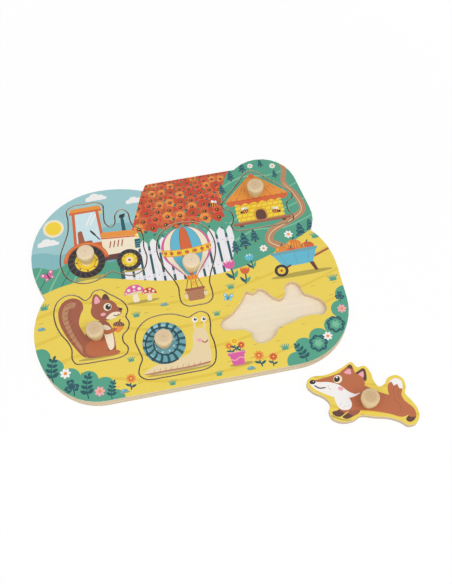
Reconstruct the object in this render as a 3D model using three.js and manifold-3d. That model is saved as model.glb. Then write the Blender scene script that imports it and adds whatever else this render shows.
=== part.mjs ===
// Wooden knob puzzle: a two-layer tray with six wells, and six flat pieces that lift out by turned knobs.
// Five pieces lie in their wells, and the sixth lies on the table in front of the tray.
// Millimetres, +Z up. The origin is on the tray's underside, at the middle of its outline.
import * as THREE from 'three';
import { mergeVertices } from 'three/addons/utils/BufferGeometryUtils.js';
import Module from 'manifold-3d';

// Boards
const SHEET_THICKNESS = 6; // the printed sheet that the frame and the pieces are cut from
const BACKING_THICKNESS = 5; // the plain board glued under the frame
const WELL_CLEARANCE = 1.3; // saw gap all round a seated piece

// Meadow: the broad lower part of the tray, with a straight front edge and four rounded corners
const MEADOW_WIDTH = 302;
const MEADOW_FRONT_Y = -118.5;
const MEADOW_LEFT_ROUND_X = 59;
const MEADOW_LEFT_LOW_ROUND_Y = 72;
const MEADOW_LEFT_HIGH_ROUND_Y = 66;
const MEADOW_RIGHT_LOW_ROUND_X = 62;
const MEADOW_RIGHT_LOW_ROUND_Y = 60;
const MEADOW_RIGHT_SIDE = 34.5;
const MEADOW_RIGHT_HIGH_ROUND_X = 44.5;
const MEADOW_RIGHT_HIGH_ROUND_Y = 61;

// Sky: the round lobe at the upper left, flatter towards the middle of the tray
const SKY_X = -68;
const SKY_Y = 37;
const SKY_LEFT_REACH = 77;
const SKY_RIGHT_REACH = 94;
const SKY_UPPER_REACH = 75.5;
const SKY_LOWER_REACH = 81.5;

// Field: the straight-topped block between the two lobes, with a leaning left side
const FIELD_TOP_Y = 110.5;
const FIELD_HEIGHT = 95;
const FIELD_LEFT_X = -20;
const FIELD_WIDTH = 95;
const FIELD_LEAN = 41; // how much further left the foot of the left side stands
const FIELD_CORNER_ROUND = 3;

// Hill: the lobe at the upper right, a smaller round standing on a larger one
const HILL_TOP_X = 98;
const HILL_TOP_Y = 82;
const HILL_TOP_RADIUS = 37;
const HILL_FOOT_X = 105.5;
const HILL_FOOT_Y = 43;
const HILL_FOOT_RADIUS = 36;

// Knob, turned from one piece of beech
const KNOB_HEIGHT = 17;
const KNOB_DIAMETER = 17.2;
const KNOB_BASE_DIAMETER = 11.6;
const KNOB_TOP_DIAMETER = 12.4; // the nearly flat middle of the top
const KNOB_WIDEST_HEIGHT = 14;
const KNOB_FLARE = 1.2; // above 1, the stem widens late
const KNOB_CROWN = 0.4; // how far the middle of the top stands above its rim
const KNOB_BASE_CHAMFER = 0.6;

// Countersunk wood screw, driven from under the plate into the knob
const SCREW_DIAMETER = 2.9;
const SCREW_HEAD_DIAMETER = 5.6;
const SCREW_HEAD_HEIGHT = 1.7;
const SCREW_HEAD_SINK = 0.3; // how far the head lies inside the plate's underside
const SCREW_BITE = 9; // length inside the knob
const SCREW_TIP = 2.5;
const SCREW_CLEARANCE = 0.2; // between the screw and the plate's hole
const PILOT_CLEARANCE = 0.1; // between the screw and the knob's hole
const PILOT_EXTRA_DEPTH = 0.6;
const RECESS_LENGTH = 3; // cross recess for the screwdriver
const RECESS_WIDTH = 0.8;
const RECESS_DEPTH = 1;

// Plates: overall width and height of each piece, and the centre of its well on the tray
const TRACTOR_WIDTH = 84;
const TRACTOR_HEIGHT = 91;
const TRACTOR_X = -74.3;
const TRACTOR_Y = 53;
const BALLOON_WIDTH = 57;
const BALLOON_HEIGHT = 94.5;
const BALLOON_X = 8.4;
const BALLOON_Y = 9.8;
const HIVE_WIDTH = 73;
const HIVE_HEIGHT = 69;
const HIVE_X = 90.3;
const HIVE_Y = 71;
const SQUIRREL_WIDTH = 69;
const SQUIRREL_HEIGHT = 74;
const SQUIRREL_X = -94.5;
const SQUIRREL_Y = -40.3;
const SNAIL_WIDTH = 74;
const SNAIL_HEIGHT = 63;
const SNAIL_X = -21.2;
const SNAIL_Y = -73.8;
const FOX_WIDTH = 107;
const FOX_HEIGHT = 62;
const FOX_X = 77;
const FOX_Y = -60.7;

// Where the sixth piece lies on the table, and how far it is turned there
const LOOSE_X = 140.3;
const LOOSE_Y = -159.5;
const LOOSE_TURN = THREE.MathUtils.degToRad(-31.5);

// Faceting
const ARC_STEPS = 7; // half the straight steps along one quarter of an oval
const SPLINE_STEPS = 5; // straight steps between two points of a plate's outline
const TURNING_STEPS = 24; // sides of a knob or screw
const KNOB_CURVE_STEPS = 5;
const MERGE_DISTANCE = 1e-4;
const CUT_OVERRUN = 1; // how far a cutting body runs past the faces that it cuts

// Outlines and knob places are in percent of a plate's width and height, from its lower left corner
const PIECES = [
  {
    name: 'tractor',
    width: TRACTOR_WIDTH,
    height: TRACTOR_HEIGHT,
    home: [TRACTOR_X, TRACTOR_Y],
    knob: [31, 28],
    colour: 0xdd8a45,
    outline: [
      [30, 0], [46, 4], [57, 9], [68, 4], [80, 0], [94, 5], [100, 19], [98.5, 32], [100, 46], [97, 57],
      [91, 61], [88, 69], [87, 80], [80, 85], [73, 80], [71, 69], [65, 64], [58, 71], [58, 85],
      [58.5, 95.5], [51, 100], [38, 100], [24, 100], [16, 95.5], [16, 84], [14, 68], [8, 54], [2, 41],
      [0, 26], [5, 11], [16, 2.5],
    ],
  },
  {
    name: 'balloon',
    width: BALLOON_WIDTH,
    height: BALLOON_HEIGHT,
    home: [BALLOON_X, BALLOON_Y],
    knob: [52, 43],
    colour: 0x74bfd0,
    outline: [
      [50, 0], [66, 0.4], [75.5, 5], [77, 14], [76, 23], [81, 33], [91.5, 47], [98.5, 60], [100, 72],
      [94, 86], [77, 96.7], [50, 100], [23, 96.7], [6, 86], [0, 72], [1.5, 60], [8.5, 47], [19, 33],
      [24, 23], [23, 14], [24.5, 5], [34, 0.4],
    ],
  },
  {
    name: 'hive',
    width: HIVE_WIDTH,
    height: HIVE_HEIGHT,
    home: [HIVE_X, HIVE_Y],
    knob: [49, 58],
    colour: 0xe8c23a,
    outline: [
      [50, 0], [82, 0], [91, 3], [93, 10.5], [89, 18], [88, 28], [90.5, 36.5], [98, 41.5], [99.5, 50],
      [89, 62], [73, 79], [58, 96], [50, 100], [42, 96], [27, 79], [11, 62], [0.5, 50], [2, 41.5],
      [9.5, 36.5], [12, 28], [11, 18], [7, 10.5], [9, 3], [18, 0],
    ],
  },
  {
    name: 'squirrel',
    width: SQUIRREL_WIDTH,
    height: SQUIRREL_HEIGHT,
    home: [SQUIRREL_X, SQUIRREL_Y],
    knob: [53, 35],
    colour: 0x9c5a43,
    outline: [
      [30, 0.5], [55, 0], [79, 0], [89, 3.5], [92, 11], [87, 20], [88, 30], [96, 37], [99, 46], [96, 55],
      [100, 64], [97, 75], [87, 85], [78, 92], [69, 99.5], [59, 99], [52, 91], [44, 88], [35, 96],
      [22, 100], [8, 94], [0.5, 80], [1, 62], [6, 47], [14, 34], [18, 22], [17, 9], [21, 2],
    ],
  },
  {
    name: 'snail',
    width: SNAIL_WIDTH,
    height: SNAIL_HEIGHT,
    home: [SNAIL_X, SNAIL_Y],
    knob: [37, 52],
    colour: 0x7aa9b4,
    outline: [
      [30, 0], [60, 0], [84, 1], [94, 7.5], [98.5, 22], [99, 40], [97, 57], [99.5, 73], [98.5, 88],
      [90, 94], [81, 91], [74, 87.5], [66, 92], [54, 98], [38, 100], [20, 96], [7, 83], [2, 66], [5, 48],
      [7, 34], [2, 22], [0, 10], [8, 1.5],
    ],
  },
  {
    name: 'fox',
    width: FOX_WIDTH,
    height: FOX_HEIGHT,
    home: [FOX_X, FOX_Y],
    knob: [55.5, 42],
    loose: true,
    colour: 0xb9633a,
    outline: [
      [0, 45], [3, 54], [12, 62], [19, 72], [25, 84], [31, 97], [37, 92], [43, 98], [50, 90], [54, 80],
      [60, 73], [64, 80], [65, 91], [71, 99.5], [78, 97], [82, 86], [83, 76], [90, 68], [97, 58],
      [100, 46], [98.5, 35], [93, 29], [86, 31.5], [76, 31], [64, 25], [53, 20], [48, 9], [40, 1],
      [31, 1], [26, 10], [25, 22], [18, 29], [8, 31], [1.5, 37],
    ],
  },
];

const wasm = await Module();
wasm.setup();

// A geometry as a solid that can be joined and cut
function solidOf(geometry) {
  const bare = new THREE.BufferGeometry();
  bare.setAttribute('position', geometry.getAttribute('position').clone());
  bare.setIndex(geometry.index);
  const merged = mergeVertices(bare, MERGE_DISTANCE);
  const triangles = [];
  for (let i = 0; i < merged.index.count; i += 3) {
    const corners = [0, 1, 2].map((k) => merged.index.getX(i + k));
    if (new Set(corners).size === 3) {
      triangles.push(...corners);
    }
  }
  return new wasm.Manifold(new wasm.Mesh({
    numProp: 3,
    vertProperties: Float32Array.from(merged.getAttribute('position').array),
    triVerts: Uint32Array.from(triangles),
  }));
}

// A solid back as a geometry for a mesh
function geometryOf(solid) {
  const { vertProperties, triVerts } = solid.getMesh();
  const geometry = new THREE.BufferGeometry();
  geometry.setAttribute('position', new THREE.BufferAttribute(vertProperties, 3));
  geometry.setIndex(new THREE.BufferAttribute(triVerts, 1));
  geometry.computeVertexNormals();
  return geometry;
}

// A flat shape raised to a plate from a lower to an upper height
function plateOf(shape, low, high) {
  const settings = { depth: high - low, bevelEnabled: false, curveSegments: ARC_STEPS };
  return new THREE.ExtrudeGeometry(shape, settings).translate(0, 0, low);
}

// A profile of [radius, height] points turned about the Z axis, listed from the bottom to the top
function turned(profile) {
  const points = profile.map(([radius, height]) => new THREE.Vector2(radius, height));
  return new THREE.LatheGeometry(points, TURNING_STEPS).rotateX(Math.PI / 2);
}

// One quarter of an oval, from the given count of quarter turns anticlockwise from the right
function addQuarter(shape, [x, y], [across, up], turns) {
  const quarter = Math.PI / 2;
  shape.absellipse(x, y, across, up, turns * quarter, (turns + 1) * quarter);
}

// Meadow: straight front edge and right side, with a quarter oval at each corner
function meadowShape() {
  const right = MEADOW_WIDTH / 2;
  const lowRight = [right - MEADOW_RIGHT_LOW_ROUND_X, MEADOW_FRONT_Y + MEADOW_RIGHT_LOW_ROUND_Y];
  const highRight = [right - MEADOW_RIGHT_HIGH_ROUND_X, lowRight[1] + MEADOW_RIGHT_SIDE];
  const left = [MEADOW_LEFT_ROUND_X - right, MEADOW_FRONT_Y + MEADOW_LEFT_LOW_ROUND_Y];
  const shape = new THREE.Shape();
  shape.moveTo(left[0], MEADOW_FRONT_Y);
  addQuarter(shape, lowRight, [MEADOW_RIGHT_LOW_ROUND_X, MEADOW_RIGHT_LOW_ROUND_Y], -1);
  addQuarter(shape, highRight, [MEADOW_RIGHT_HIGH_ROUND_X, MEADOW_RIGHT_HIGH_ROUND_Y], 0);
  addQuarter(shape, left, [MEADOW_LEFT_ROUND_X, MEADOW_LEFT_HIGH_ROUND_Y], 1);
  addQuarter(shape, left, [MEADOW_LEFT_ROUND_X, MEADOW_LEFT_LOW_ROUND_Y], 2);
  return shape;
}

// Sky: four quarter ovals round one centre, each with its own reach
function skyShape() {
  const shape = new THREE.Shape();
  addQuarter(shape, [SKY_X, SKY_Y], [SKY_RIGHT_REACH, SKY_UPPER_REACH], 0);
  addQuarter(shape, [SKY_X, SKY_Y], [SKY_LEFT_REACH, SKY_UPPER_REACH], 1);
  addQuarter(shape, [SKY_X, SKY_Y], [SKY_LEFT_REACH, SKY_LOWER_REACH], 2);
  addQuarter(shape, [SKY_X, SKY_Y], [SKY_RIGHT_REACH, SKY_LOWER_REACH], 3);
  return shape;
}

// Field: a block with a leaning left side and a rounded upper left corner
function fieldShape() {
  const foot = FIELD_TOP_Y - FIELD_HEIGHT;
  const right = FIELD_LEFT_X + FIELD_WIDTH;
  const lean = FIELD_LEAN / FIELD_HEIGHT;
  const shape = new THREE.Shape();
  shape.moveTo(FIELD_LEFT_X - FIELD_LEAN, foot);
  shape.lineTo(right, foot);
  shape.lineTo(right, FIELD_TOP_Y);
  shape.lineTo(FIELD_LEFT_X + FIELD_CORNER_ROUND, FIELD_TOP_Y);
  const roundEnd = [FIELD_LEFT_X - lean * FIELD_CORNER_ROUND, FIELD_TOP_Y - FIELD_CORNER_ROUND];
  shape.quadraticCurveTo(FIELD_LEFT_X, FIELD_TOP_Y, ...roundEnd);
  return shape;
}

// Hill: two rounds joined by their outer tangents
function hillShape() {
  const rise = new THREE.Vector2(HILL_TOP_X - HILL_FOOT_X, HILL_TOP_Y - HILL_FOOT_Y);
  const spread = Math.acos((HILL_TOP_RADIUS - HILL_FOOT_RADIUS) / rise.length());
  const right = rise.angle() - spread;
  const left = rise.angle() + spread;
  const shape = new THREE.Shape();
  shape.absarc(HILL_TOP_X, HILL_TOP_Y, HILL_TOP_RADIUS, right, left);
  shape.absarc(HILL_FOOT_X, HILL_FOOT_Y, HILL_FOOT_RADIUS, left, right + 2 * Math.PI);
  return shape;
}

// The tray's outline as a board: the four parts joined and trimmed to their two faces
function trayBoard(low, high) {
  const parts = [meadowShape(), skyShape(), fieldShape(), hillShape()];
  const solids = parts.map((shape) => solidOf(plateOf(shape, low - CUT_OVERRUN, high + CUT_OVERRUN)));
  const joined = solids.reduce((board, part) => board.add(part));
  const reach = 2 * MEADOW_WIDTH;
  const slab = new THREE.BoxGeometry(reach, reach, high - low).translate(0, 0, (low + high) / 2);
  return joined.intersect(solidOf(slab));
}

// A place in percent of a plate's width and height, as millimetres from its centre
function onPlate([across, up], width, height) {
  return [(across / 100 - 0.5) * width, (up / 100 - 0.5) * height];
}

// A plate's outline: a smooth closed curve through its points, round the plate's own centre
function plateOutline({ outline, width, height }) {
  const points = outline.map((point) => new THREE.Vector3(...onPlate(point, width, height), 0));
  const curve = new THREE.CatmullRomCurve3(points, true, 'centripetal');
  const steps = curve.getPoints(points.length * SPLINE_STEPS).slice(0, -1);
  return steps.map((point) => new THREE.Vector2(point.x, point.y));
}

// The same outline moved outwards by a clearance
function widened(points, clearance) {
  return points.map((point, i) => {
    const before = points.at(i - 1);
    const after = points[(i + 1) % points.length];
    const along = after.clone().sub(before).normalize();
    return new THREE.Vector2(point.x + along.y * clearance, point.y - along.x * clearance);
  });
}

// The well that a piece lifts out of, as a cutting body through the frame
function wellCutter(piece) {
  const outline = new THREE.Shape(widened(plateOutline(piece), WELL_CLEARANCE));
  const low = BACKING_THICKNESS - CUT_OVERRUN;
  const high = BACKING_THICKNESS + SHEET_THICKNESS + CUT_OVERRUN;
  return solidOf(plateOf(outline, low, high).translate(...piece.home, 0));
}

function backingBoard() {
  return geometryOf(trayBoard(0, BACKING_THICKNESS));
}

function frameBoard() {
  const board = trayBoard(BACKING_THICKNESS, BACKING_THICKNESS + SHEET_THICKNESS);
  return geometryOf(PIECES.reduce((frame, piece) => frame.subtract(wellCutter(piece)), board));
}

// Plate with the countersunk hole for its knob's screw, standing on z = 0
function piecePlate(piece) {
  const headRadius = SCREW_HEAD_DIAMETER / 2 + SCREW_CLEARANCE;
  const holeRadius = SCREW_DIAMETER / 2 + SCREW_CLEARANCE;
  const hole = turned([
    [0, -CUT_OVERRUN],
    [headRadius, -CUT_OVERRUN],
    [headRadius, SCREW_HEAD_SINK],
    [holeRadius, SCREW_HEAD_SINK + SCREW_HEAD_HEIGHT],
    [holeRadius, SHEET_THICKNESS + CUT_OVERRUN],
    [0, SHEET_THICKNESS + CUT_OVERRUN],
  ]).translate(...onPlate(piece.knob, piece.width, piece.height), 0);
  const plate = plateOf(new THREE.Shape(plateOutline(piece)), 0, SHEET_THICKNESS);
  return geometryOf(solidOf(plate).subtract(solidOf(hole)));
}

// Knob with the blind hole for its screw: a flared stem, a round shoulder and a low crown
function knobGeometry() {
  const pilotRadius = SCREW_DIAMETER / 2 + PILOT_CLEARANCE;
  const pilotDepth = SCREW_BITE + PILOT_EXTRA_DEPTH;
  const base = KNOB_BASE_DIAMETER / 2;
  const widest = KNOB_DIAMETER / 2;
  const top = KNOB_TOP_DIAMETER / 2;
  const rim = KNOB_HEIGHT - KNOB_CROWN;
  const profile = [
    [0, pilotDepth],
    [pilotRadius, pilotDepth],
    [pilotRadius, 0],
    [base - KNOB_BASE_CHAMFER, 0],
  ];
  for (let i = 0; i <= KNOB_CURVE_STEPS; i += 1) {
    const part = i / KNOB_CURVE_STEPS;
    const flare = Math.sin((part * Math.PI) / 2) ** KNOB_FLARE;
    profile.push([
      base + (widest - base) * flare,
      KNOB_BASE_CHAMFER + (KNOB_WIDEST_HEIGHT - KNOB_BASE_CHAMFER) * part,
    ]);
  }
  for (let i = 1; i <= KNOB_CURVE_STEPS; i += 1) {
    const angle = (i / KNOB_CURVE_STEPS) * (Math.PI / 2);
    profile.push([
      top + (widest - top) * Math.cos(angle),
      KNOB_WIDEST_HEIGHT + (rim - KNOB_WIDEST_HEIGHT) * Math.sin(angle),
    ]);
  }
  profile.push([0, KNOB_HEIGHT]);
  return turned(profile);
}

// Screw with a cross recess, its head inside the plate's underside at z = 0
function screwGeometry() {
  const radius = SCREW_DIAMETER / 2;
  const end = SHEET_THICKNESS + SCREW_BITE;
  const blank = solidOf(turned([
    [0, SCREW_HEAD_SINK],
    [SCREW_HEAD_DIAMETER / 2, SCREW_HEAD_SINK],
    [radius, SCREW_HEAD_SINK + SCREW_HEAD_HEIGHT],
    [radius, end - SCREW_TIP],
    [0, end],
  ]));
  const cut = RECESS_DEPTH + CUT_OVERRUN;
  const middle = SCREW_HEAD_SINK + RECESS_DEPTH - cut / 2;
  const along = new THREE.BoxGeometry(RECESS_LENGTH, RECESS_WIDTH, cut).translate(0, 0, middle);
  const across = new THREE.BoxGeometry(RECESS_WIDTH, RECESS_LENGTH, cut).translate(0, 0, middle);
  return geometryOf(blank.subtract(solidOf(along)).subtract(solidOf(across)));
}

function wood(color) {
  return new THREE.MeshStandardMaterial({ color, roughness: 0.6, metalness: 0 });
}

function steel() {
  return new THREE.MeshStandardMaterial({ color: 0xb9bcc0, roughness: 0.35, metalness: 1 });
}

function named(name, geometry, material) {
  const mesh = new THREE.Mesh(geometry, material);
  mesh.name = name;
  return mesh;
}

// One piece: its plate, its knob and the screw that holds them together
function pieceGroup(piece) {
  const group = new THREE.Group();
  const plate = named(`${piece.name}_plate`, piecePlate(piece), wood(piece.colour));
  const knob = named(`${piece.name}_knob`, knobGeometry(), wood(0xd9bf94));
  const screw = named(`${piece.name}_screw`, screwGeometry(), steel());
  const [x, y] = onPlate(piece.knob, piece.width, piece.height);
  knob.position.set(x, y, SHEET_THICKNESS);
  screw.position.set(x, y, 0);
  group.add(plate, knob, screw);
  if (piece.loose) {
    group.position.set(LOOSE_X, LOOSE_Y, 0);
    group.rotation.z = LOOSE_TURN;
  } else {
    group.position.set(...piece.home, BACKING_THICKNESS);
  }
  return group;
}

const puzzle = new THREE.Group();
puzzle.add(named('backing_board', backingBoard(), wood(0xe3d3b6)));
puzzle.add(named('frame_board', frameBoard(), wood(0xe9cf5a)));
puzzle.add(...PIECES.map(pieceGroup));

export default puzzle;
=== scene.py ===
"""Looks of a wooden knob puzzle: printed boards, turned knobs and a plain studio round its solids."""
import logging
import math
from abc import ABC, abstractmethod
from collections.abc import Iterable, Iterator, Sequence
from dataclasses import dataclass, field
from enum import Enum

import bmesh
import bpy
from bmesh.types import BMEdge, BMesh, BMFace, BMVert
from bpy.types import Material, Object
from mathutils import Color, Matrix, Vector
from mathutils.geometry import delaunay_2d_cdt


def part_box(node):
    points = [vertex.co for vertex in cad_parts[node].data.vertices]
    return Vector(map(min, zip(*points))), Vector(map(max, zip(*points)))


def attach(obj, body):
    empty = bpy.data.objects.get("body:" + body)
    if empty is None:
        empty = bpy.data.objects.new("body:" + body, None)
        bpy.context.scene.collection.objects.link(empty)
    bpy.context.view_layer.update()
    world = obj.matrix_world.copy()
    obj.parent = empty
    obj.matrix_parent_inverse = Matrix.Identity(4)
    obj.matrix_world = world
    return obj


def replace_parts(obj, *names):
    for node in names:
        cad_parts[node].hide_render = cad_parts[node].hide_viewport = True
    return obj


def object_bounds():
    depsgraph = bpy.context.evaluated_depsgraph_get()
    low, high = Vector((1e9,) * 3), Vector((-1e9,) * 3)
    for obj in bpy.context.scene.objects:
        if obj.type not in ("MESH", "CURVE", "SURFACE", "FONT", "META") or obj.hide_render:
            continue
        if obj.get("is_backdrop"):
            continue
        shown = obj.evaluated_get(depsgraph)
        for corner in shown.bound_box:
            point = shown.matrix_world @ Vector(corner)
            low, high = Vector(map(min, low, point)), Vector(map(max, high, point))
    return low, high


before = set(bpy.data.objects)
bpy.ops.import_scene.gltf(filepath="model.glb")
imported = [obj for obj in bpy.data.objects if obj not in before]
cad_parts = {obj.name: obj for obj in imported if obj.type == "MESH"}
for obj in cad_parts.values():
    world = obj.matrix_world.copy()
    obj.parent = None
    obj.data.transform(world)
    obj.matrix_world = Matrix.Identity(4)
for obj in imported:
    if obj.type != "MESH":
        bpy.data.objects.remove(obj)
CAD_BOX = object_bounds()

LOG = logging.getLogger("knob_puzzle")

Point = tuple[float, float]
Triple = tuple[float, float, float]
Colour = tuple[float, float, float, float]
Loop = list[Vector]

# Millimetres are used for the picture and for small sizes, and metres for meshes
MM = 0.001
WELD = 1e-6
LEVEL = 1e-5
FLAT_ANGLE = math.radians(0.5)
SHARP_ANGLE = math.radians(38)
CORNER_ANGLE = math.radians(80)

# Middle of the empty well, where the loose piece belongs on the picture
OPEN_WELL: Point = (77, -60.7)

# Steps of an arc: the fewest, and those of a radian by the square root of the reach
FEWEST_STEPS = 8
STEPS_AT_LEAST = 1.8
STEPS_BY_REACH = 1.1

# Largest share of a side that a rounded corner takes
CORNER_SHARE = 0.48

# Round end of a band: how far it stands out, and where its two corners lie across it
CAP_REACH = 0.4
CAP_CORNERS = (0.4, 0.6)

# Corners of a leaf, as shares of its length and its width, and where they start to round
LEAF_EDGE = ((0, 0), (0.3, 0.45), (0.62, 0.4), (1, 0), (0.62, -0.4), (0.3, -0.45))
LEAF_ROUNDING = 0.3

# The triangulation's number for triangles inside the loops alone
INSIDE_LOOPS = 1

# Numbers of a Mix node's sockets for colours
MIX_LOW = 6
MIX_HIGH = 7
MIX_RESULT = 2

BLACK: Colour = (0, 0, 0, 1)
WHITE: Colour = (1, 1, 1, 1)


def linear(colour: str) -> Colour:
    """Turns six hexadecimal digits into linear red, green and blue, with full alpha."""
    shares = [part / 255 for part in bytes.fromhex(colour)]
    return (*Color(shares).from_srgb_to_scene_linear(), 1.0)


class Ink(Enum):
    """Flat colours of the print, as red, green and blue in hexadecimal."""

    SKY = "9EC9CD"
    CLOUD = "F3F0EE"
    HAZE = "83B9BE"
    HILL = "529F84"
    LEAF = "79BB98"
    PINE = "1F545A"
    DEEP = "1D454F"
    POPPY = "D4673A"
    FURROW = "BB5430"
    MARIGOLD = "E8943F"
    FENCE = "EFECEF"
    FENCE_SHADE = "D3CDD4"
    MEADOW = "EBD056"
    STRAW = "E2C448"
    OLIVE = "B3A04A"
    EARTH = "B98763"
    BARK = "A05C44"
    RUST = "B96A45"
    COCOA = "5F3B34"
    NIGHT = "2B2326"
    TYRE = "4A4044"
    POOL = "62B7CF"
    SLATE = "6BA3AE"
    GLASS = "CDE6EA"
    PINK = "D9609F"
    ROSE = "F0A9B4"
    CREAM = "F3E6CB"
    SAND = "E9D3A8"
    LEMON = "F3D43C"
    AMBER = "D9A531"
    RED = "CB4330"


# Outlines on the picture, in millimetres


def smooth(points: Sequence[Point], closed: bool, steps: int = 5) -> Loop:
    """Runs a smooth curve through points.

    Args:
        points: Places that the curve passes.
        closed: Whether the curve returns to its start.
        steps: Straight steps between two points.

    Returns:
        The curve's points.
    """
    places = [Vector(point) for point in points]
    count = len(places)
    run = []
    for span in range(count if closed else count - 1):
        near = []
        for place in range(span - 1, span + 3):
            near.append(places[place % count if closed else min(max(place, 0), count - 1)])
        before, start, end, after = near
        for step in range(steps):
            share = step / steps
            bend = (2 * before - 5 * start + 4 * end - after) + share * (3 * (start - end) + after - before)
            run.append(start + 0.5 * share * ((end - before) + share * bend))
    if not closed:
        run.append(places[-1])
    return run


def cap(first: Vector, second: Vector, reach: Vector) -> Loop:
    """Returns the corners of a band's round end, between its two sides and out by a reach."""
    return [(1 - share) * first + share * second + reach for share in CAP_CORNERS]


def ribbon(points: Sequence[Point], width: float, tip: float = 1.0) -> Loop:
    """Makes a band along a smooth line, with round ends.

    Args:
        points: Places along the middle of the band.
        width: Width at the start.
        tip: Width at the end, as a share of the width at the start.

    Returns:
        The band's outline.
    """
    spine = smooth(points, False) if len(points) > 2 else [Vector(point) for point in points]
    last = len(spine) - 1
    left, right = [], []
    for place, middle in enumerate(spine):
        along = (spine[min(place + 1, last)] - spine[max(place - 1, 0)]).normalized()
        half = 0.5 * width * (1 + (tip - 1) * place / last)
        left.append(middle + half * along.orthogonal())
        right.append(middle - half * along.orthogonal())
    end = (spine[last] - spine[last - 1]).normalized() * width * tip * CAP_REACH
    start = (spine[0] - spine[1]).normalized() * width * CAP_REACH
    return left + cap(left[-1], right[-1], end) + right[::-1] + cap(right[0], left[0], start)


def rounded(points: Sequence[Point], radius: float, steps: int = 4) -> Loop:
    """Rounds the corners of a polygon.

    Args:
        points: The polygon's corners.
        radius: How far from a corner its rounding starts.
        steps: Straight steps of one rounding.

    Returns:
        The rounded outline.
    """
    corners = [Vector(point) for point in points]
    run = []
    for place, corner in enumerate(corners):
        ends = []
        for other in (corners[place - 1], corners[(place + 1) % len(corners)]):
            side = other - corner
            ends.append(corner + side.normalized() * min(radius, side.length * CORNER_SHARE))
        for step in range(steps + 1):
            share = step / steps
            bend = (1 - share) ** 2 * ends[0] + 2 * share * (1 - share) * corner
            run.append(bend + share * share * ends[1])
    return run


def ring(across: float, up: float, first: float = 0.0, last: float = 360.0) -> Loop:
    """Steps round an oval about the origin, or round a part of one.

    Args:
        across: Half its width.
        up: Half its height.
        first: Angle of the first step in degrees, from the right.
        last: Angle of the last step in degrees.

    Returns:
        Points of the arc, without the last one of a full turn.
    """
    full = abs(last - first) >= 360
    span = math.radians(last - first)
    density = STEPS_AT_LEAST + STEPS_BY_REACH * math.sqrt(max(across, up))
    steps = max(FEWEST_STEPS, round(abs(span) * density))
    run = []
    for step in range(steps if full else steps + 1):
        angle = math.radians(first) + span * step / steps
        run.append(Vector((across * math.cos(angle), up * math.sin(angle))))
    return run


def area(loop: Sequence[Vector]) -> float:
    """Returns a loop's area, below zero where it runs clockwise."""
    return 0.5 * sum(loop[place - 1].cross(loop[place]) for place in range(len(loop)))


def limits(loop: Sequence[Vector]) -> tuple[Point, Point]:
    """Returns the lower left and the upper right corner of a loop's box."""
    across, up = zip(*loop)
    return (min(across), min(up)), (max(across), max(up))


@dataclass(frozen=True)
class Patch:
    """One flat patch of ink: its colour, its outline and the patches that it stays inside."""

    ink: Ink
    outline: Loop
    inside: tuple[int, ...] = ()


@dataclass
class Pen:
    """Draws patches of ink at its own place, turn and size, and inside its holder where it has one."""

    patches: list[Patch] = field(default_factory=list)
    place: Matrix = field(default_factory=lambda: Matrix.Identity(3))
    holder: int | None = None

    def at(self, x: float, y: float, turn: float = 0.0, size: float = 1.0, flip: bool = False) -> "Pen":
        """Gives a pen for the same picture at another place.

        Args:
            x: Place to the right.
            y: Place upwards.
            turn: Turn in degrees, anticlockwise.
            size: Size of what is drawn, as a share.
            flip: Whether left and right change places.

        Returns:
            The moved pen.
        """
        angle = math.radians(turn)
        along = size * math.cos(angle)
        across = size * math.sin(angle)
        side = -1 if flip else 1
        move = Matrix(((side * along, -across, x), (side * across, along, y), (0, 0, 1)))
        return Pen(self.patches, self.place @ move, self.holder)

    def spokes(self, count: int, start: float = 0.0) -> Iterator["Pen"]:
        """Gives pens at the same place, turned in equal steps from a start in degrees."""
        for number in range(count):
            yield self.at(0, 0, start + 360 * number / count)

    def scatter(self, motif: "type[Motif]", spots: Iterable[Sequence[float]]) -> None:
        """Draws motifs of one class at several spots, each given as at() takes it."""
        for spot in spots:
            motif(self.at(*spot)).draw()

    def patch(self, ink: Ink, points: Iterable[Point | Vector]) -> "Pen":
        """Adds a patch of ink over those drawn before it.

        Args:
            ink: The patch's colour.
            points: The patch's outline.

        Returns:
            A pen at the same place that stays inside the patch.
        """
        outline = [(self.place @ Vector((point[0], point[1], 1))).to_2d() for point in points]
        if area(outline) < 0:
            outline.reverse()
        holders = () if self.holder is None else (self.holder, *self.patches[self.holder].inside)
        self.patches.append(Patch(ink, outline, holders))
        return Pen(self.patches, self.place, len(self.patches) - 1)

    def oval(self, ink: Ink, x: float, y: float, across: float, up: float | None = None,
             turn: float = 0.0) -> "Pen":
        """Adds an oval by half its width and half its height, which is the same if not given."""
        made = self.at(x, y, turn).patch(ink, ring(across, across if up is None else up))
        return Pen(self.patches, self.place, made.holder)

    def blob(self, ink: Ink, points: Sequence[Point]) -> "Pen":
        """Adds a smooth closed form through points."""
        return self.patch(ink, smooth(points, True))

    def line(self, ink: Ink, points: Sequence[Point], width: float, tip: float = 1.0) -> "Pen":
        """Adds a smooth band through points, with its width at the start and its tip's share of that."""
        return self.patch(ink, ribbon(points, width, tip))

    def panel(self, ink: Ink, points: Sequence[Point], radius: float = 1.0) -> "Pen":
        """Adds a polygon with rounded corners."""
        return self.patch(ink, rounded(points, radius))

    def leaf(self, ink: Ink, x: float, y: float, length: float, width: float, turn: float) -> None:
        """Adds a pointed leaf by its foot, its length and width, and where it points in degrees."""
        edge = [(along * length, side * width) for along, side in LEAF_EDGE]
        self.at(x, y, turn).patch(ink, rounded(edge, LEAF_ROUNDING * length))


@dataclass(frozen=True)
class Motif(ABC):
    """Something that is drawn on the picture by a pen at its place."""

    pen: Pen

    @abstractmethod
    def draw(self) -> None:
        """Draws the motif."""


# Small things of the scenery


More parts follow.
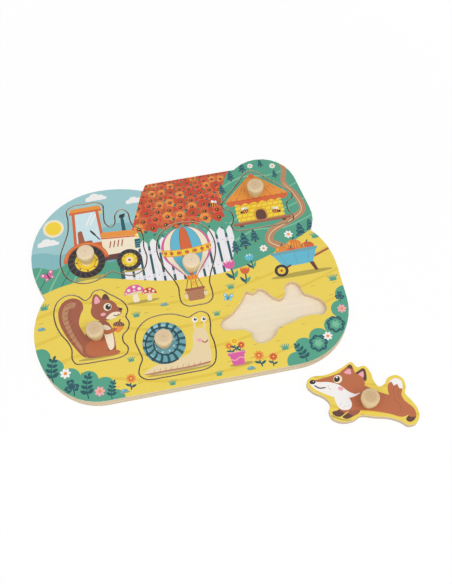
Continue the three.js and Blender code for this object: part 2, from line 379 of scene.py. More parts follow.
class Cloud(Motif):
    """A low cloud with a flat foot."""

    def draw(self) -> None:
        """Draws four puffs on a bar."""
        for puff in ((-7, 1.2, 4.6, 3.4), (-1, 3.2, 6, 5.2), (6, 1.8, 5, 4), (11, 0.4, 3, 2.2)):
            self.pen.oval(Ink.CLOUD, *puff)
        self.pen.panel(Ink.CLOUD, ((-11.5, -1.8), (13.5, -1.8), (13.5, 0.8), (-11.5, 0.8)), 1.2)


@dataclass(frozen=True)
class Daisy(Motif):
    """An open flower with oval petals round a button."""

    petals: int = 7
    petal: Ink = Ink.CLOUD
    button: Ink = Ink.MARIGOLD

    def draw(self) -> None:
        """Draws the petals, then the button."""
        for spoke in self.pen.spokes(self.petals):
            spoke.oval(self.petal, 2.5, 0, 2.1, 1.25)
        self.pen.oval(self.button, 0, 0, 1.5)


@dataclass(frozen=True)
class Tulip(Motif):
    """A cup-shaped flower on a stem with two leaves."""

    cup: Ink
    heart: Ink

    def draw(self) -> None:
        """Draws stem and leaves, then the cup with its three tips."""
        pen = self.pen
        pen.line(Ink.PINE, ((0, -9), (0.5, -4), (0, 1)), 1.1)
        pen.leaf(Ink.PINE, 0.2, -8.5, 7.5, 2.8, 128)
        pen.leaf(Ink.HILL, 0.2, -8.5, 7, 2.8, 55)
        pen.blob(self.heart, ((-2.2, 1), (-1.4, 5.6), (0, 4.4), (1.4, 5.6), (2.2, 1)))
        pen.patch(self.cup, (
            (-3.4, 5.4), (-3.6, 2.2), (-2.7, 0.2), (-1, -0.9), (1, -0.9), (2.7, 0.2), (3.6, 2.2), (3.4, 5.4),
            (1.6, 3.3), (0, 4.6), (-1.6, 3.3)))


@dataclass(frozen=True)
class Marigold(Motif):
    """A round frilled flower on a stem."""

    frill: Ink = Ink.MARIGOLD
    heart: Ink = Ink.POPPY
    frills: int = 9

    def draw(self) -> None:
        """Draws stem and leaves, the frill, then the heart."""
        pen = self.pen
        pen.line(Ink.PINE, ((0, -8.5), (-0.5, -4), (0, 0)), 1.0)
        pen.leaf(Ink.PINE, -0.3, -6, 5, 2.2, 150)
        pen.leaf(Ink.PINE, -0.3, -7, 5, 2.2, 28)
        edge = []
        for number in range(2 * self.frills):
            reach = 3.8 if number % 2 else 2.9
            angle = math.pi * number / self.frills
            edge.append((reach * math.cos(angle), reach * math.sin(angle)))
        pen.blob(self.frill, edge)
        pen.oval(self.heart, 0, 0, 1.9)
        pen.oval(Ink.LEMON, 0, 0, 0.8)


@dataclass(frozen=True)
class Poppy(Motif):
    """An open poppy on two leaves, with two pairs of petals round a dark eye."""

    front: Ink
    back: Ink

    def draw(self) -> None:
        """Draws leaves, petals and eye."""
        pen = self.pen
        for side in (-1, 1):
            pen.line(Ink.PINE, ((0, -3), (side * 4.4, -4.6), (side * 7, -3)), 2.2, 0.3)
        for side in (-1, 1):
            pen.oval(self.back, side * 3.3, 0.3, 3.2, 3.8)
        for side in (1, -1):
            pen.oval(self.front, 0, side * 2.3, 4.1, 3.1)
        pen.oval(self.back, 0, 0, 2.7, 2.3)
        pen.oval(Ink.NIGHT, 0, 0, 1.7, 1.5)
        pen.oval(Ink.LEMON, -0.3, 0.3, 0.5)


@dataclass(frozen=True)
class Tuft(Motif):
    """A tuft of grass."""

    ink: Ink = Ink.HILL
    blades: int = 5

    def draw(self) -> None:
        """Draws blades that fan out from one foot."""
        pen = self.pen
        for number in range(self.blades):
            lean = (number - (self.blades - 1) / 2) / self.blades
            tall = 5.4 - 5.5 * lean * lean
            pen.line(self.ink, ((4.5 * lean, 0), (6.5 * lean, 0.55 * tall), (11 * lean, tall)), 1.5, 0.35)
        pen.oval(self.ink, 0, 0.3, 3.3, 0.8)


@dataclass(frozen=True)
class Clover(Motif):
    """A three-leaved clover with pale marks."""

    ink: Ink = Ink.PINE
    mark: Ink = Ink.SLATE

    def draw(self) -> None:
        """Draws a stem and three marked leaves."""
        self.pen.line(self.ink, ((0, 0), (0.8, -4), (0.2, -8)), 0.9)
        for leaf in self.pen.spokes(3, 90):
            leaf.blob(self.ink, (
                (0, 0), (2.2, 2.6), (5, 2.7), (5.9, 1.2), (5.2, 0), (5.9, -1.2), (5, -2.7), (2.2, -2.6)))
            leaf.line(self.mark, ((2.6, 1.4), (3.4, 0), (2.6, -1.4)), 0.5)


@dataclass(frozen=True)
class Fern(Motif):
    """A curved frond with pairs of leaves that grow shorter."""

    ink: Ink = Ink.PINE
    pairs: int = 4

    def draw(self) -> None:
        """Draws the rib, then the leaves from the foot to the tip."""
        pen = self.pen
        pen.line(self.ink, ((0, 0), (0.6, 9), (3.2, 18), (7, 24)), 1.3, 0.6)
        for number in range(self.pairs):
            share = (number + 1) / (self.pairs + 0.6)
            x = 6.2 * share ** 2.2
            y = 23.5 * share
            length = 9.6 - 4.6 * share
            for turn in (146 - 34 * share, 30 - 30 * share):
                pen.leaf(self.ink, x, y, length, 5.2 - 1.7 * share, turn)
        pen.leaf(self.ink, 5.6, 22, 5.6, 3.2, 52)


class Cabbage(Motif):
    """A cabbage seen from above, as leaf upon leaf."""

    def draw(self) -> None:
        """Draws three rounds of ribbed leaves, then the heart."""
        rounds = (
            (Ink.PINE, Ink.SLATE, 7, 8.2, 0), (Ink.HILL, Ink.PINE, 6, 5.8, 20),
            (Ink.LEAF, Ink.HILL, 5, 3.6, 50))
        for leaf, rib, count, reach, twist in rounds:
            for spoke in self.pen.spokes(count, twist):
                spoke.oval(leaf, 0.58 * reach, 0, 0.48 * reach, 0.42 * reach)
                spoke.line(rib, ((0.3 * reach, 0), (0.95 * reach, 0)), 0.5, 0.5)
        self.pen.oval(Ink.LEAF, 0, 0, 1.9)


@dataclass(frozen=True)
class Toadstool(Motif):
    """A toadstool with pale spots."""

    cap: Ink = Ink.PINK

    def draw(self) -> None:
        """Draws stalk, gills and spotted cap."""
        pen = self.pen
        pen.panel(Ink.CREAM, ((-2.4, -8), (2.6, -8), (1.7, 0.5), (-1.7, 0.5)), 1.4)
        pen.oval(Ink.SAND, 0, -0.2, 6.2, 1.3)
        cap = pen.blob(self.cap, (
            (-7.6, -0.4), (-6.4, 3.6), (-2.6, 6.6), (2.6, 6.6), (6.4, 3.6), (7.6, -0.4), (3.5, 0.6),
            (-3.5, 0.6)))
        for spot in ((-3.8, 3, 1.3), (0.6, 5, 1.2), (0.2, 1.9, 0.8), (4.2, 2.6, 1.4), (-6.2, 0.9, 0.8)):
            cap.oval(Ink.CREAM, *spot)


class Bee(Motif):
    """A striped bee."""

    def draw(self) -> None:
        """Draws wings, striped body, head and feeler."""
        pen = self.pen
        pen.oval(Ink.CLOUD, -0.6, 3, 1.7, 2.7, 24)
        pen.oval(Ink.GLASS, 1.9, 2.8, 1.4, 2.4, -12)
        body = pen.oval(Ink.MARIGOLD, 0, 0, 4.1, 2.6)
        for x in (-2.1, 0.2, 2.4):
            body.line(Ink.NIGHT, ((x, -3), (x + 0.3, 0), (x, 3)), 1.0)
        pen.oval(Ink.NIGHT, -4.1, 0.2, 1.5)
        pen.line(Ink.NIGHT, ((-4.6, 1.2), (-5.3, 2.6), (-6.2, 2.9)), 0.45)


@dataclass(frozen=True)
class Butterfly(Motif):
    """A butterfly with four spotted wings."""

    wing: Ink
    spot: Ink

    def draw(self) -> None:
        """Draws the wings on both sides, then the body."""
        for flip in (False, True):
            half = self.pen.at(0, 0, flip=flip)
            half.blob(self.wing, ((0.3, 0.3), (2.2, 4.2), (5.4, 5), (5.6, 2), (3, 0.2)))
            half.blob(self.wing, ((0.3, -0.2), (3.2, -0.4), (4.4, -2.4), (2.8, -4), (1, -2.4)))
            half.oval(self.spot, 3.9, 3.2, 1.0)
            half.oval(self.spot, 2.7, -2.1, 0.7)
            half.line(Ink.NIGHT, ((0.2, 2.2), (0.9, 4), (1.9, 4.7)), 0.35)
        self.pen.line(Ink.NIGHT, ((0, -2.9), (0, 2.4)), 1.1, 0.8)


class Stone(Motif):
    """A flat pebble with its light side."""

    def draw(self) -> None:
        """Draws shade, stone and light."""
        pen = self.pen
        pen.oval(Ink.OLIVE, 0.8, -1.5, 4.6, 1)
        pen.blob(Ink.SLATE, ((-4, -1.2), (-2.8, 1.2), (0.4, 2), (3.2, 0.8), (3.9, -1.2), (0, -1.9)))
        pen.blob(Ink.SKY, ((-2.6, 0), (-1.4, 1.1), (0.6, 1.4), (-0.4, 0.4)))


@dataclass(frozen=True)
class Pumpkin(Motif):
    """A ribbed pumpkin."""

    skin: Ink = Ink.MARIGOLD

    def draw(self) -> None:
        """Draws stalk, skin, ribs and a light spot."""
        pen = self.pen
        pen.line(Ink.PINE, ((0, 5), (0.4, 7.6), (2, 9)), 2.0, 0.6)
        skin = pen.oval(self.skin, 0, 0, 8.2, 6.4)
        for bend, sway in ((-6.4, 5.4), (-3, 5.9), (0, 6.2), (3, 5.9), (6.4, 5.4)):
            rib = ((bend * 0.35, sway), (bend, 0), (bend * 0.35, -sway))
            skin.line(Ink.FURROW, rib, 0.55)
        skin.oval(Ink.LEMON, -4.6, 2.4, 1.3, 0.7, 40)


class Pine(Motif):
    """A tree of three tiers."""

    def draw(self) -> None:
        """Draws the trunk, then the tiers from below."""
        pen = self.pen
        pen.panel(Ink.COCOA, ((-1, -3), (1, -3), (0.8, 2), (-0.8, 2)), 0.3)
        for foot, half, tall in ((0, 5.8, 8), (4.6, 4.7, 7), (8.8, 3.4, 6)):
            pen.panel(Ink.PINE, ((-half, foot), (half, foot), (0, foot + tall)), 1.3)
            garland = ((-0.55 * half, foot + 1), (0, foot + 1.7), (0.55 * half, foot + 1))
            pen.line(Ink.SLATE, garland, 0.5)


# Large parts of the scenery, drawn from the back to the front


@dataclass(frozen=True)
class SkyAndHills(Motif):
    """The sky of the left lobe, with clouds and two lines of hills."""

    rows: int = 7
    row_step: float = 21

    def draw(self) -> None:
        """Draws sky, sun, clouds, far hills, near hills and their crop rows."""
        pen = self.pen
        pen.patch(Ink.SKY, ((-170, -140), (170, -140), (170, 140), (-170, 140)))
        pen.oval(Ink.CREAM, -119, 76, 10.5)
        pen.oval(Ink.LEMON, -119, 76, 8)
        pen.scatter(Cloud, ((-127, 58, 0, 0.85), (-73, 103, 0, 0.85), (-34, 92, 0, 0.75)))
        pen.blob(Ink.HAZE, (
            (-175, -40), (-165, 38), (-138, 50), (-112, 44), (-88, 58), (-58, 70), (-30, 62), (0, 40),
            (0, -40)))
        near = pen.blob(Ink.HILL, (
            (-175, -60), (-165, 22), (-142, 34), (-122, 28), (-100, 40), (-70, 52), (-44, 50), (-20, 40),
            (0, 20), (0, -60)))
        for row in range(self.rows):
            foot = -170 + self.row_step * row
            crop = ((foot, -30), (foot + 20, 8), (foot + 33, 30), (foot + 42, 54))
            furrow = ((foot + 9, -30), (foot + 29, 6), (foot + 42, 28), (foot + 51, 52))
            near.line(Ink.LEAF, crop, 2.6, 0.4)
            near.line(Ink.PINE, furrow, 0.8, 0.5)


@dataclass(frozen=True)
class PoppyField(Motif):
    """The straight-topped block of poppies, in staggered rows that grow smaller towards the back."""

    foot: float = 57
    top: float = 120
    left: float = -48
    right: float = 72
    near: float = 1.2
    far: float = 0.62
    row_step: float = 7.6
    plant_step: float = 11.4
    inks: tuple[tuple[Ink, Ink], ...] = (
        (Ink.POPPY, Ink.RED), (Ink.POPPY, Ink.FURROW), (Ink.RED, Ink.FURROW), (Ink.MARIGOLD, Ink.POPPY))

    def draw(self) -> None:
        """Draws the field's green, then its rows from far to near, with no poppy quite like the next."""
        green = self.pen.patch(Ink.HILL, ((-17, 122), (-46, 48), (82, 48), (82, 122)))
        heights = [self.foot]
        while heights[-1] < self.top:
            heights.append(heights[-1] + self.row_step * self.size_at(heights[-1]))
        for row, height in reversed(list(enumerate(heights))):
            size = self.size_at(height)
            step = self.plant_step * size
            for number in range(int((self.right - self.left) / step) + 1):
                x = self.left + step * (number + 0.5 * (row % 2))
                sway = math.sin(2.4 * number + 1.3 * row)
                inks = self.inks[(3 * number + 2 * row + number // 4) % len(self.inks)]
                Poppy(green.at(x, height + 0.8 * sway, 16 * sway, size), *inks).draw()

    def size_at(self, height: float) -> float:
        """Returns the size of the plants at a height on the picture."""
        return self.near + (self.far - self.near) * (height - self.foot) / (self.top - self.foot)


@dataclass(frozen=True)
class HedgeAndFence(Motif):
    """A clipped hedge with a white picket fence before it."""

    left: float = -46
    right: float = 80
    picket: float = 7.4
    gap: float = 2.4
    foot: float = -14
    top: float = 40
    point: float = 4.6
    rails: tuple[float, ...] = (2, 29)
    rail: float = 4.4
    mounds: int = 14
    leaves: int = 30

    def draw(self) -> None:
        """Draws hedge, shade, rails and pickets."""
        self.draw_hedge()
        start, end = self.left - 14, self.right
        self.pen.patch(Ink.PINE, ((start, self.foot), (end, self.foot), (end, 36), (start, 36)))
        for height in self.rails:
            low, high = height - self.rail / 2, height + self.rail / 2
            self.pen.panel(Ink.FENCE_SHADE, ((start, low), (end, low), (end, high), (start, high)), 0.5)
        self.draw_pickets()

    def draw_hedge(self) -> None:
        """Draws the hedge's mounds and its leaves."""
        edge = [(self.left - 20, -30)]
        for number in range(self.mounds):
            x = self.left - 12 + 11 * number
            edge += [(x - 4, 50 + (number % 3)), (x, 55.5 - (number % 2)), (x + 4.5, 51.5)]
        edge += [(self.right + 50, 40), (self.right + 50, -30)]
        self.pen.blob(Ink.HILL, edge)
        for number in range(self.leaves):
            ink = Ink.PINE if number % 2 else Ink.LEAF
            x = self.left - 10 + 4.9 * number
            self.pen.leaf(ink, x, 44 + 5 * math.sin(2.1 * number), 3.6, 1.8, 40 + 47 * number)

    def draw_pickets(self) -> None:
        """Draws the pointed pickets with their grain and nails."""
        wide, foot, top = self.picket, self.foot, self.top
        outline = ((0, foot), (wide, foot), (wide, top), (wide / 2, top + self.point), (0, top))
        step = wide + self.gap
        for number in range(int((self.right - self.left + 10) / step)):
            pen = self.pen.at(self.left - 10 + step * number, 0)
            board = pen.panel(Ink.FENCE, outline, 0.8)
            for streak in range(3):
                x = 1.7 + 2 * streak
                low = foot + 5 + (17 * number + 23 * streak) % 31
                board.line(Ink.FENCE_SHADE, ((x, low), (x + 0.3, low + 6), (x, low + 11)), 0.4, 0.5)
            for height in self.rails:
                pen.oval(Ink.SLATE, wide / 2, height, 0.55)


@dataclass(frozen=True)
class GreenHill(Motif):
    """The hill of the right lobe, with a sandy track, trees and daisies."""

    swathes: int = 5
    swathe_step: float = 22

    def draw(self) -> None:
        """Draws the hill, its lighter swathes, the track and what grows there."""
        pen = self.pen
        hill = pen.blob(Ink.HILL, (
            (50, -40), (58, 30), (53, 62), (58, 92), (74, 116), (100, 128), (130, 124), (150, 100), (155, 40),
            (155, -40)))
        for swathe in range(self.swathes):
            rise = self.swathe_step * swathe
            points = ((52, 22 + rise), (80, 34 + rise), (112, 31 + rise), (150, 44 + rise))
            hill.line(Ink.LEAF, points, 2.2, 0.6)
        hill.line(Ink.EARTH, (
            (118, -4), (104, 8), (92, 18), (98, 30), (116, 38), (133, 48), (131, 66), (122, 84), (126, 104),
            (118, 124)), 9.5, 0.5)
        hill.line(Ink.SAND, (
            (117, -4), (103, 8), (91.5, 18), (97.5, 29), (116, 37), (132, 48), (130, 66),
            (121.5, 84)), 1.0, 0.5)
        pen.scatter(Pine, (
            (67, 17, 0, 1.15), (78, 22, 0, 0.9), (57, 13, 0, 0.9), (125, 18, 0, 1.1), (136, 23, 0, 0.9),
            (115, 93.5, 0, 0.6), (83, 107, 0, 0.75), (69, 99, 0, 0.8), (103, 109.5, 0, 0.6),
            (57, 84, 0, 0.75)))
        pen.scatter(Daisy, ((112, 22), (84, 11, 0, 0.9), (115, 107.5, 0, 0.75), (92, 112, 0, 0.7)))


@dataclass(frozen=True)
class Meadow(Motif):
    """The yellow meadow, with mown swathes and dry stalks."""

    swathes: int = 4
    swathe_step: float = 27
    stalks: int = 64

    def draw(self) -> None:
        """Draws the ground, its swathes and the stalks strewn over it."""
        pen = self.pen
        ground = pen.blob(Ink.MEADOW, (
            (-180, -150), (-176, -4), (-150, -1), (-118, 8), (-84, 10), (-50, 2), (-16, -6), (20, -9),
            (56, -6), (84, 1), (110, 11), (140, 25), (175, 36), (180, -150)))
        for swathe in range(self.swathes):
            drop = self.swathe_step * swathe
            points = (
                (-160, -26 - drop), (-100, -14 - drop), (-30, -30 - drop), (40, -28 - drop),
                (110, -12 - drop), (165, 6 - drop))
            ground.line(Ink.STRAW, points, 3.4, 0.7)
        for number in range(self.stalks):
            x = -146 + (number * 61.8) % 292
            y = -112 + (number * 37.3) % 116
            ground.line(Ink.OLIVE, ((x, y), (x + 2, y + 0.5), (x + 4.2, y + 0.3)), 0.7, 0.4)


@dataclass(frozen=True)
class Barrow(Motif):
    """A blue wheelbarrow with a load of pumpkins."""

    axle: Point = (-20, -17)
    spokes: int = 6

    def draw(self) -> None:
        """Draws shade, load, handle, tub, leg and wheel."""
        pen = self.pen
        pen.oval(Ink.OLIVE, 2, -25, 36, 3)
        for skin, *spot in ((Ink.MARIGOLD, -13, 9, 0, 1.0), (Ink.POPPY, 17, 9, 0, 0.95),
                            (Ink.MARIGOLD, 2, 14, 0, 1.1), (Ink.POPPY, -3, 5, 0, 0.9),
                            (Ink.MARIGOLD, 10, 4, 0, 0.9)):
            Pumpkin(pen.at(*spot), skin).draw()
        pen.line(Ink.BARK, ((-10, -8), (14, -7), (36, 0), (43, 3)), 2.6)
        tub = pen.panel(Ink.POOL, ((-27, 6), (27, 6), (18, -13), (-16, -13)), 2.4)
        pen.panel(Ink.SLATE, ((-28, 7.5), (28, 7.5), (27, 3.8), (-27, 3.8)), 1.2)
        for x in (-12, 0, 12):
            tub.line(Ink.SLATE, ((x * 1.45, 4), (x, -12)), 0.9)
        pen.panel(Ink.COCOA, ((14, -12), (19, -12), (22, -24), (18.5, -24)), 0.8)
        pen.line(Ink.COCOA, ((-8, -12), self.axle), 2.2)
        wheel = pen.at(*self.axle)
        for ink, reach in ((Ink.NIGHT, 8), (Ink.TYRE, 6), (Ink.LEMON, 4.6)):
            wheel.oval(ink, 0, 0, reach)
        for spoke in wheel.spokes(self.spokes):
            spoke.line(Ink.MARIGOLD, ((0, 0), (4.4, 0)), 0.8)
        wheel.oval(Ink.COCOA, 0, 0, 1.3)


class FlowerPot(Motif):
    """A pink pot of marigolds."""

    def draw(self) -> None:
        """Draws shade, flowers and banded pot."""
        pen = self.pen
        pen.oval(Ink.OLIVE, 2, -8.5, 10, 1.6)
        Marigold(pen.at(-5, 10, 14, 0.95), Ink.MARIGOLD, Ink.POPPY).draw()
        Marigold(pen.at(5.4, 9, -16, 0.9), Ink.POPPY, Ink.RED).draw()
        Marigold(pen.at(0.4, 13.6, 0, 1.05), Ink.LEMON, Ink.MARIGOLD).draw()
        pot = pen.panel(Ink.PINK, ((-6.6, 2), (6.6, 2), (4.8, -9), (-4.8, -9)), 1)
        pot.line(Ink.ROSE, ((-7, -2), (-2.3, -4.2), (2.3, -2), (7, -4.2)), 1.0)
        pen.panel(Ink.PINK, ((-7.8, 3.6), (7.8, 3.6), (7.4, 0.6), (-7.4, 0.6)), 0.8)
        pen.panel(Ink.ROSE, ((-7.8, 3.6), (7.8, 3.6), (7.7, 2.8), (-7.7, 2.8)), 0.3)


@dataclass(frozen=True)
class Thicket(Motif):
    """A low green bush with a scalloped edge."""

    edge: tuple[Point, ...]
    scallop: float = 9.5

    def draw(self) -> None:
        """Draws the body, then rounds along its edge."""
        self.pen.blob(Ink.HILL, self.edge)
        for x, y in self.edge[1:-1]:
            self.pen.oval(Ink.HILL, x, y, self.scallop)


class Scenery(Motif):
    """The whole background, which runs across the frame and the pieces alike."""

    def draw(self) -> None:
        """Draws the background from back to front."""
        for part in (SkyAndHills, PoppyField, HedgeAndFence, GreenHill, Meadow):
            part(self.pen).draw()
        Barrow(self.pen.at(113, -3, size=0.86)).draw()
        self.draw_corners()
        self.draw_middle()

    def draw_corners(self) -> None:
        """Draws the bushes in the two lower corners and what grows in them."""
        pen = self.pen
        left = ((-170, -60), (-147, -64), (-136, -77), (-122, -89), (-106, -95), (-92, -104), (-84, -118),
                (-90, -150), (-180, -150))
        right = ((170, -44), (150, -55), (142, -70), (131, -86), (114, -95), (98, -102), (88, -115),
                 (88, -150), (180, -150))
        for edge in (left, right):
            Thicket(pen, edge).draw()
        pen.scatter(Fern, (
            (-138, -91, 8), (-108, -113, 8, 0.95), (-87, -117.5, 2, 0.7), (97, -117, 4, 0.8, True)))
        pen.scatter(Clover, ((-122, -98, 8, 1.2), (144.5, -56, -12, 0.8)))
        pen.scatter(Cabbage, ((112, -101, 0, 1.05), (133, -85, 0, 1.05)))
        for petal, *spot in ((Ink.CLOUD, -126, -84, 0, 1.15), (Ink.ROSE, -97, -108, 0, 1.1),
                             (Ink.CLOUD, 122.5, -95.5), (Ink.ROSE, 143, -70)):
            Daisy(pen.at(*spot), petal=petal).draw()

    def draw_middle(self) -> None:
        """Draws what stands in the meadow between the pieces."""
        pen = self.pen
        pen.oval(Ink.OLIVE, -43, -24, 16, 1.8)
        Toadstool(pen.at(-50, -13, 4, 1.3)).draw()
        Toadstool(pen.at(-36, -16.5, -6, 0.95), Ink.RED).draw()
        FlowerPot(pen.at(34, -98, size=1.1)).draw()
        Tulip(pen.at(47, -4, 4, 1.55), Ink.PINK, Ink.ROSE).draw()
        Tulip(pen.at(60, -13, -8, 1.3), Ink.POPPY, Ink.MARIGOLD).draw()
        Tulip(pen.at(68, 1, 6, 1.2), Ink.POOL, Ink.GLASS).draw()
        Marigold(pen.at(54, -102, 5, 1.35)).draw()
        Marigold(pen.at(67, -106, -10, 1.1), Ink.POPPY, Ink.RED).draw()
        Marigold(pen.at(-67, -101, -6, 1.3)).draw()
        pen.scatter(Tuft, (
            (-52, -39), (43, -27), (24, -53, 0, 0.9), (-64, -84, 0, 0.9), (14, -114.5, 0, 0.9),
            (80, -101, 0, 1.1), (138, 13, 0, 1.2), (143, -38, 0, 1.2), (-138, -14, 0, 1.2),
            (-30, -115, 0, 0.9)))
        pen.scatter(Stone, ((-24, -31, 0, 0.9), (-75, -112), (44, -113, 0, 0.9), (-143, -34, 0, 0.9)))
        Butterfly(pen.at(-130, 22, 22, 1.1), Ink.PINK, Ink.CREAM).draw()
        Butterfly(pen.at(38, -36.5, -18, 0.85), Ink.POOL, Ink.CLOUD).draw()
        Bee(pen.at(45, 72, -10)).draw()


# The six pictures on the pieces


@dataclass(frozen=True)
class Wheel(Motif):
    """A tractor's wheel with treads and a bright rim."""

    reach: float
    treads: int
    bolts: int = 8

    def draw(self) -> None:
        """Draws tyre, treads, rim, bolts and hub."""
        pen = self.pen
        tyre = pen.oval(Ink.NIGHT, 0, 0, self.reach)
        for spoke in tyre.spokes(self.treads):
            spoke.line(Ink.TYRE, ((0.72 * self.reach, -0.8), (1.05 * self.reach, 1.2)), 1.5)
        for ink, share in ((Ink.TYRE, 0.7), (Ink.LEMON, 0.62), (Ink.AMBER, 0.5), (Ink.LEMON, 0.45)):
            pen.oval(ink, 0, 0, share * self.reach)
        for spoke in pen.spokes(self.bolts):
            spoke.oval(Ink.COCOA, 0.55 * self.reach, 0, 0.045 * self.reach)
        for ink, share in ((Ink.CREAM, 0.26), (Ink.BARK, 0.12)):
            pen.oval(ink, 0, 0, share * self.reach)


@dataclass(frozen=True)
class Tractor(Motif):
    """A tractor that drives to the right."""

    rear: Point = (-16.8, -21.8)
    front: Point = (25.2, -28.2)

    def draw(self) -> None:
        """Draws shade, exhaust, cab, hood, mudguard and wheels."""
        pen = self.pen
        pen.oval(Ink.OLIVE, self.rear[0] + 2, -40.6, 15, 1.9)
        pen.oval(Ink.OLIVE, self.front[0] + 1, -40.6, 10, 1.6)
        pen.panel(Ink.PINE, ((22.8, 4), (27, 4), (26.4, 24), (23.4, 24)), 0.6)
        pen.panel(Ink.NIGHT, ((21.8, 22.5), (27.6, 22.5), (28.8, 27.2), (22.8, 26)), 0.9)
        self.draw_cab()
        self.draw_hood()
        rear = pen.at(*self.rear)
        for ink, outer, inner, start in ((Ink.POPPY, 22.6, 17.5, 4), (Ink.MARIGOLD, 21.4, 20.4, 12)):
            end = 180 - start
            rear.patch(ink, ring(outer, outer, start, end) + ring(inner, inner, end, start))
        Wheel(rear, 18.6, 18).draw()
        Wheel(pen.at(*self.front), 12.4, 14).draw()

    def draw_cab(self) -> None:
        """Draws the glazed cab with its seat, wheel and roof."""
        pen = self.pen
        glass = pen.panel(Ink.GLASS, ((-25, -4), (2.4, -4), (1, 37), (-22.6, 37)), 1.5)
        glass.panel(Ink.BARK, ((-22, -3), (-15, -3), (-17, 15), (-21.5, 14)), 2.4)
        glass.panel(Ink.BARK, ((-21, -3), (-8, -3), (-8, 1.8), (-21, 1.8)), 1.6)
        glass.line(Ink.NIGHT, ((-0.5, 1), (-6, 9.5)), 1.2)
        glass.oval(Ink.NIGHT, -6.2, 9.8, 1.1, 4.8, 34)
        for x in (-12, -7.6):
            glass.line(Ink.CLOUD, ((x, 20), (x + 7.5, 33)), 1.6)
        pen.line(Ink.POPPY, ((-25.4, -6), (-23.2, 37)), 3)
        pen.line(Ink.POPPY, ((2.6, -6), (0.8, 37)), 3)
        pen.panel(Ink.POPPY, ((-27, -9), (4.6, -9), (4.2, -1.6), (-26.6, -1.6)), 1)
        pen.panel(Ink.MARIGOLD, ((-27.6, 35.6), (5.8, 35.6), (4.6, 42.2), (-25.8, 42.2)), 2.6)
        pen.panel(Ink.POPPY, ((-27.6, 35.2), (5.8, 35.2), (5.6, 37.6), (-27.2, 37.6)), 0.9)
        pen.oval(Ink.LEMON, 4.4, 33.2, 1.7, 1.3)

    def draw_hood(self) -> None:
        """Draws hood, grille and frame."""
        pen = self.pen
        pen.panel(Ink.COCOA, ((-8, -25), (32, -25), (34, -15), (-8, -15)), 1.6)
        pen.line(Ink.SLATE, ((20, -22), (25, -28)), 3.2)
        hood = pen.panel(Ink.CREAM, ((1, -18.4), (37.6, -18.4), (39, -8), (38, 3.4), (30, 6.4), (1, 8.6)), 3)
        hood.panel(Ink.MARIGOLD, ((0, 2.6), (40, -1.4), (40, 8), (0, 10)), 0.6)
        hood.panel(Ink.POPPY, ((0, 0.8), (40, -3.2), (40, -1.6), (0, 2.4)), 0.3)
        for x in (9, 13, 17, 21):
            hood.line(Ink.BARK, ((x - 1, -10.5), (x + 1, -3.5)), 1.2)
        hood.panel(Ink.PINE, ((33, -16), (40, -16), (40, -5.6), (33.4, -5.6)), 0.8)
        for y in (-14, -11.4, -8.8):
            hood.line(Ink.SLATE, ((33.6, y), (40, y)), 0.8)
        pen.oval(Ink.LEMON, 36.6, -1.6, 1.9, 2.3)
        pen.oval(Ink.CLOUD, 37, -1, 0.8, 1)
        pen.panel(Ink.SLATE, ((3, -27.2), (11, -27.2), (11, -24.6), (3, -24.6)), 0.6)


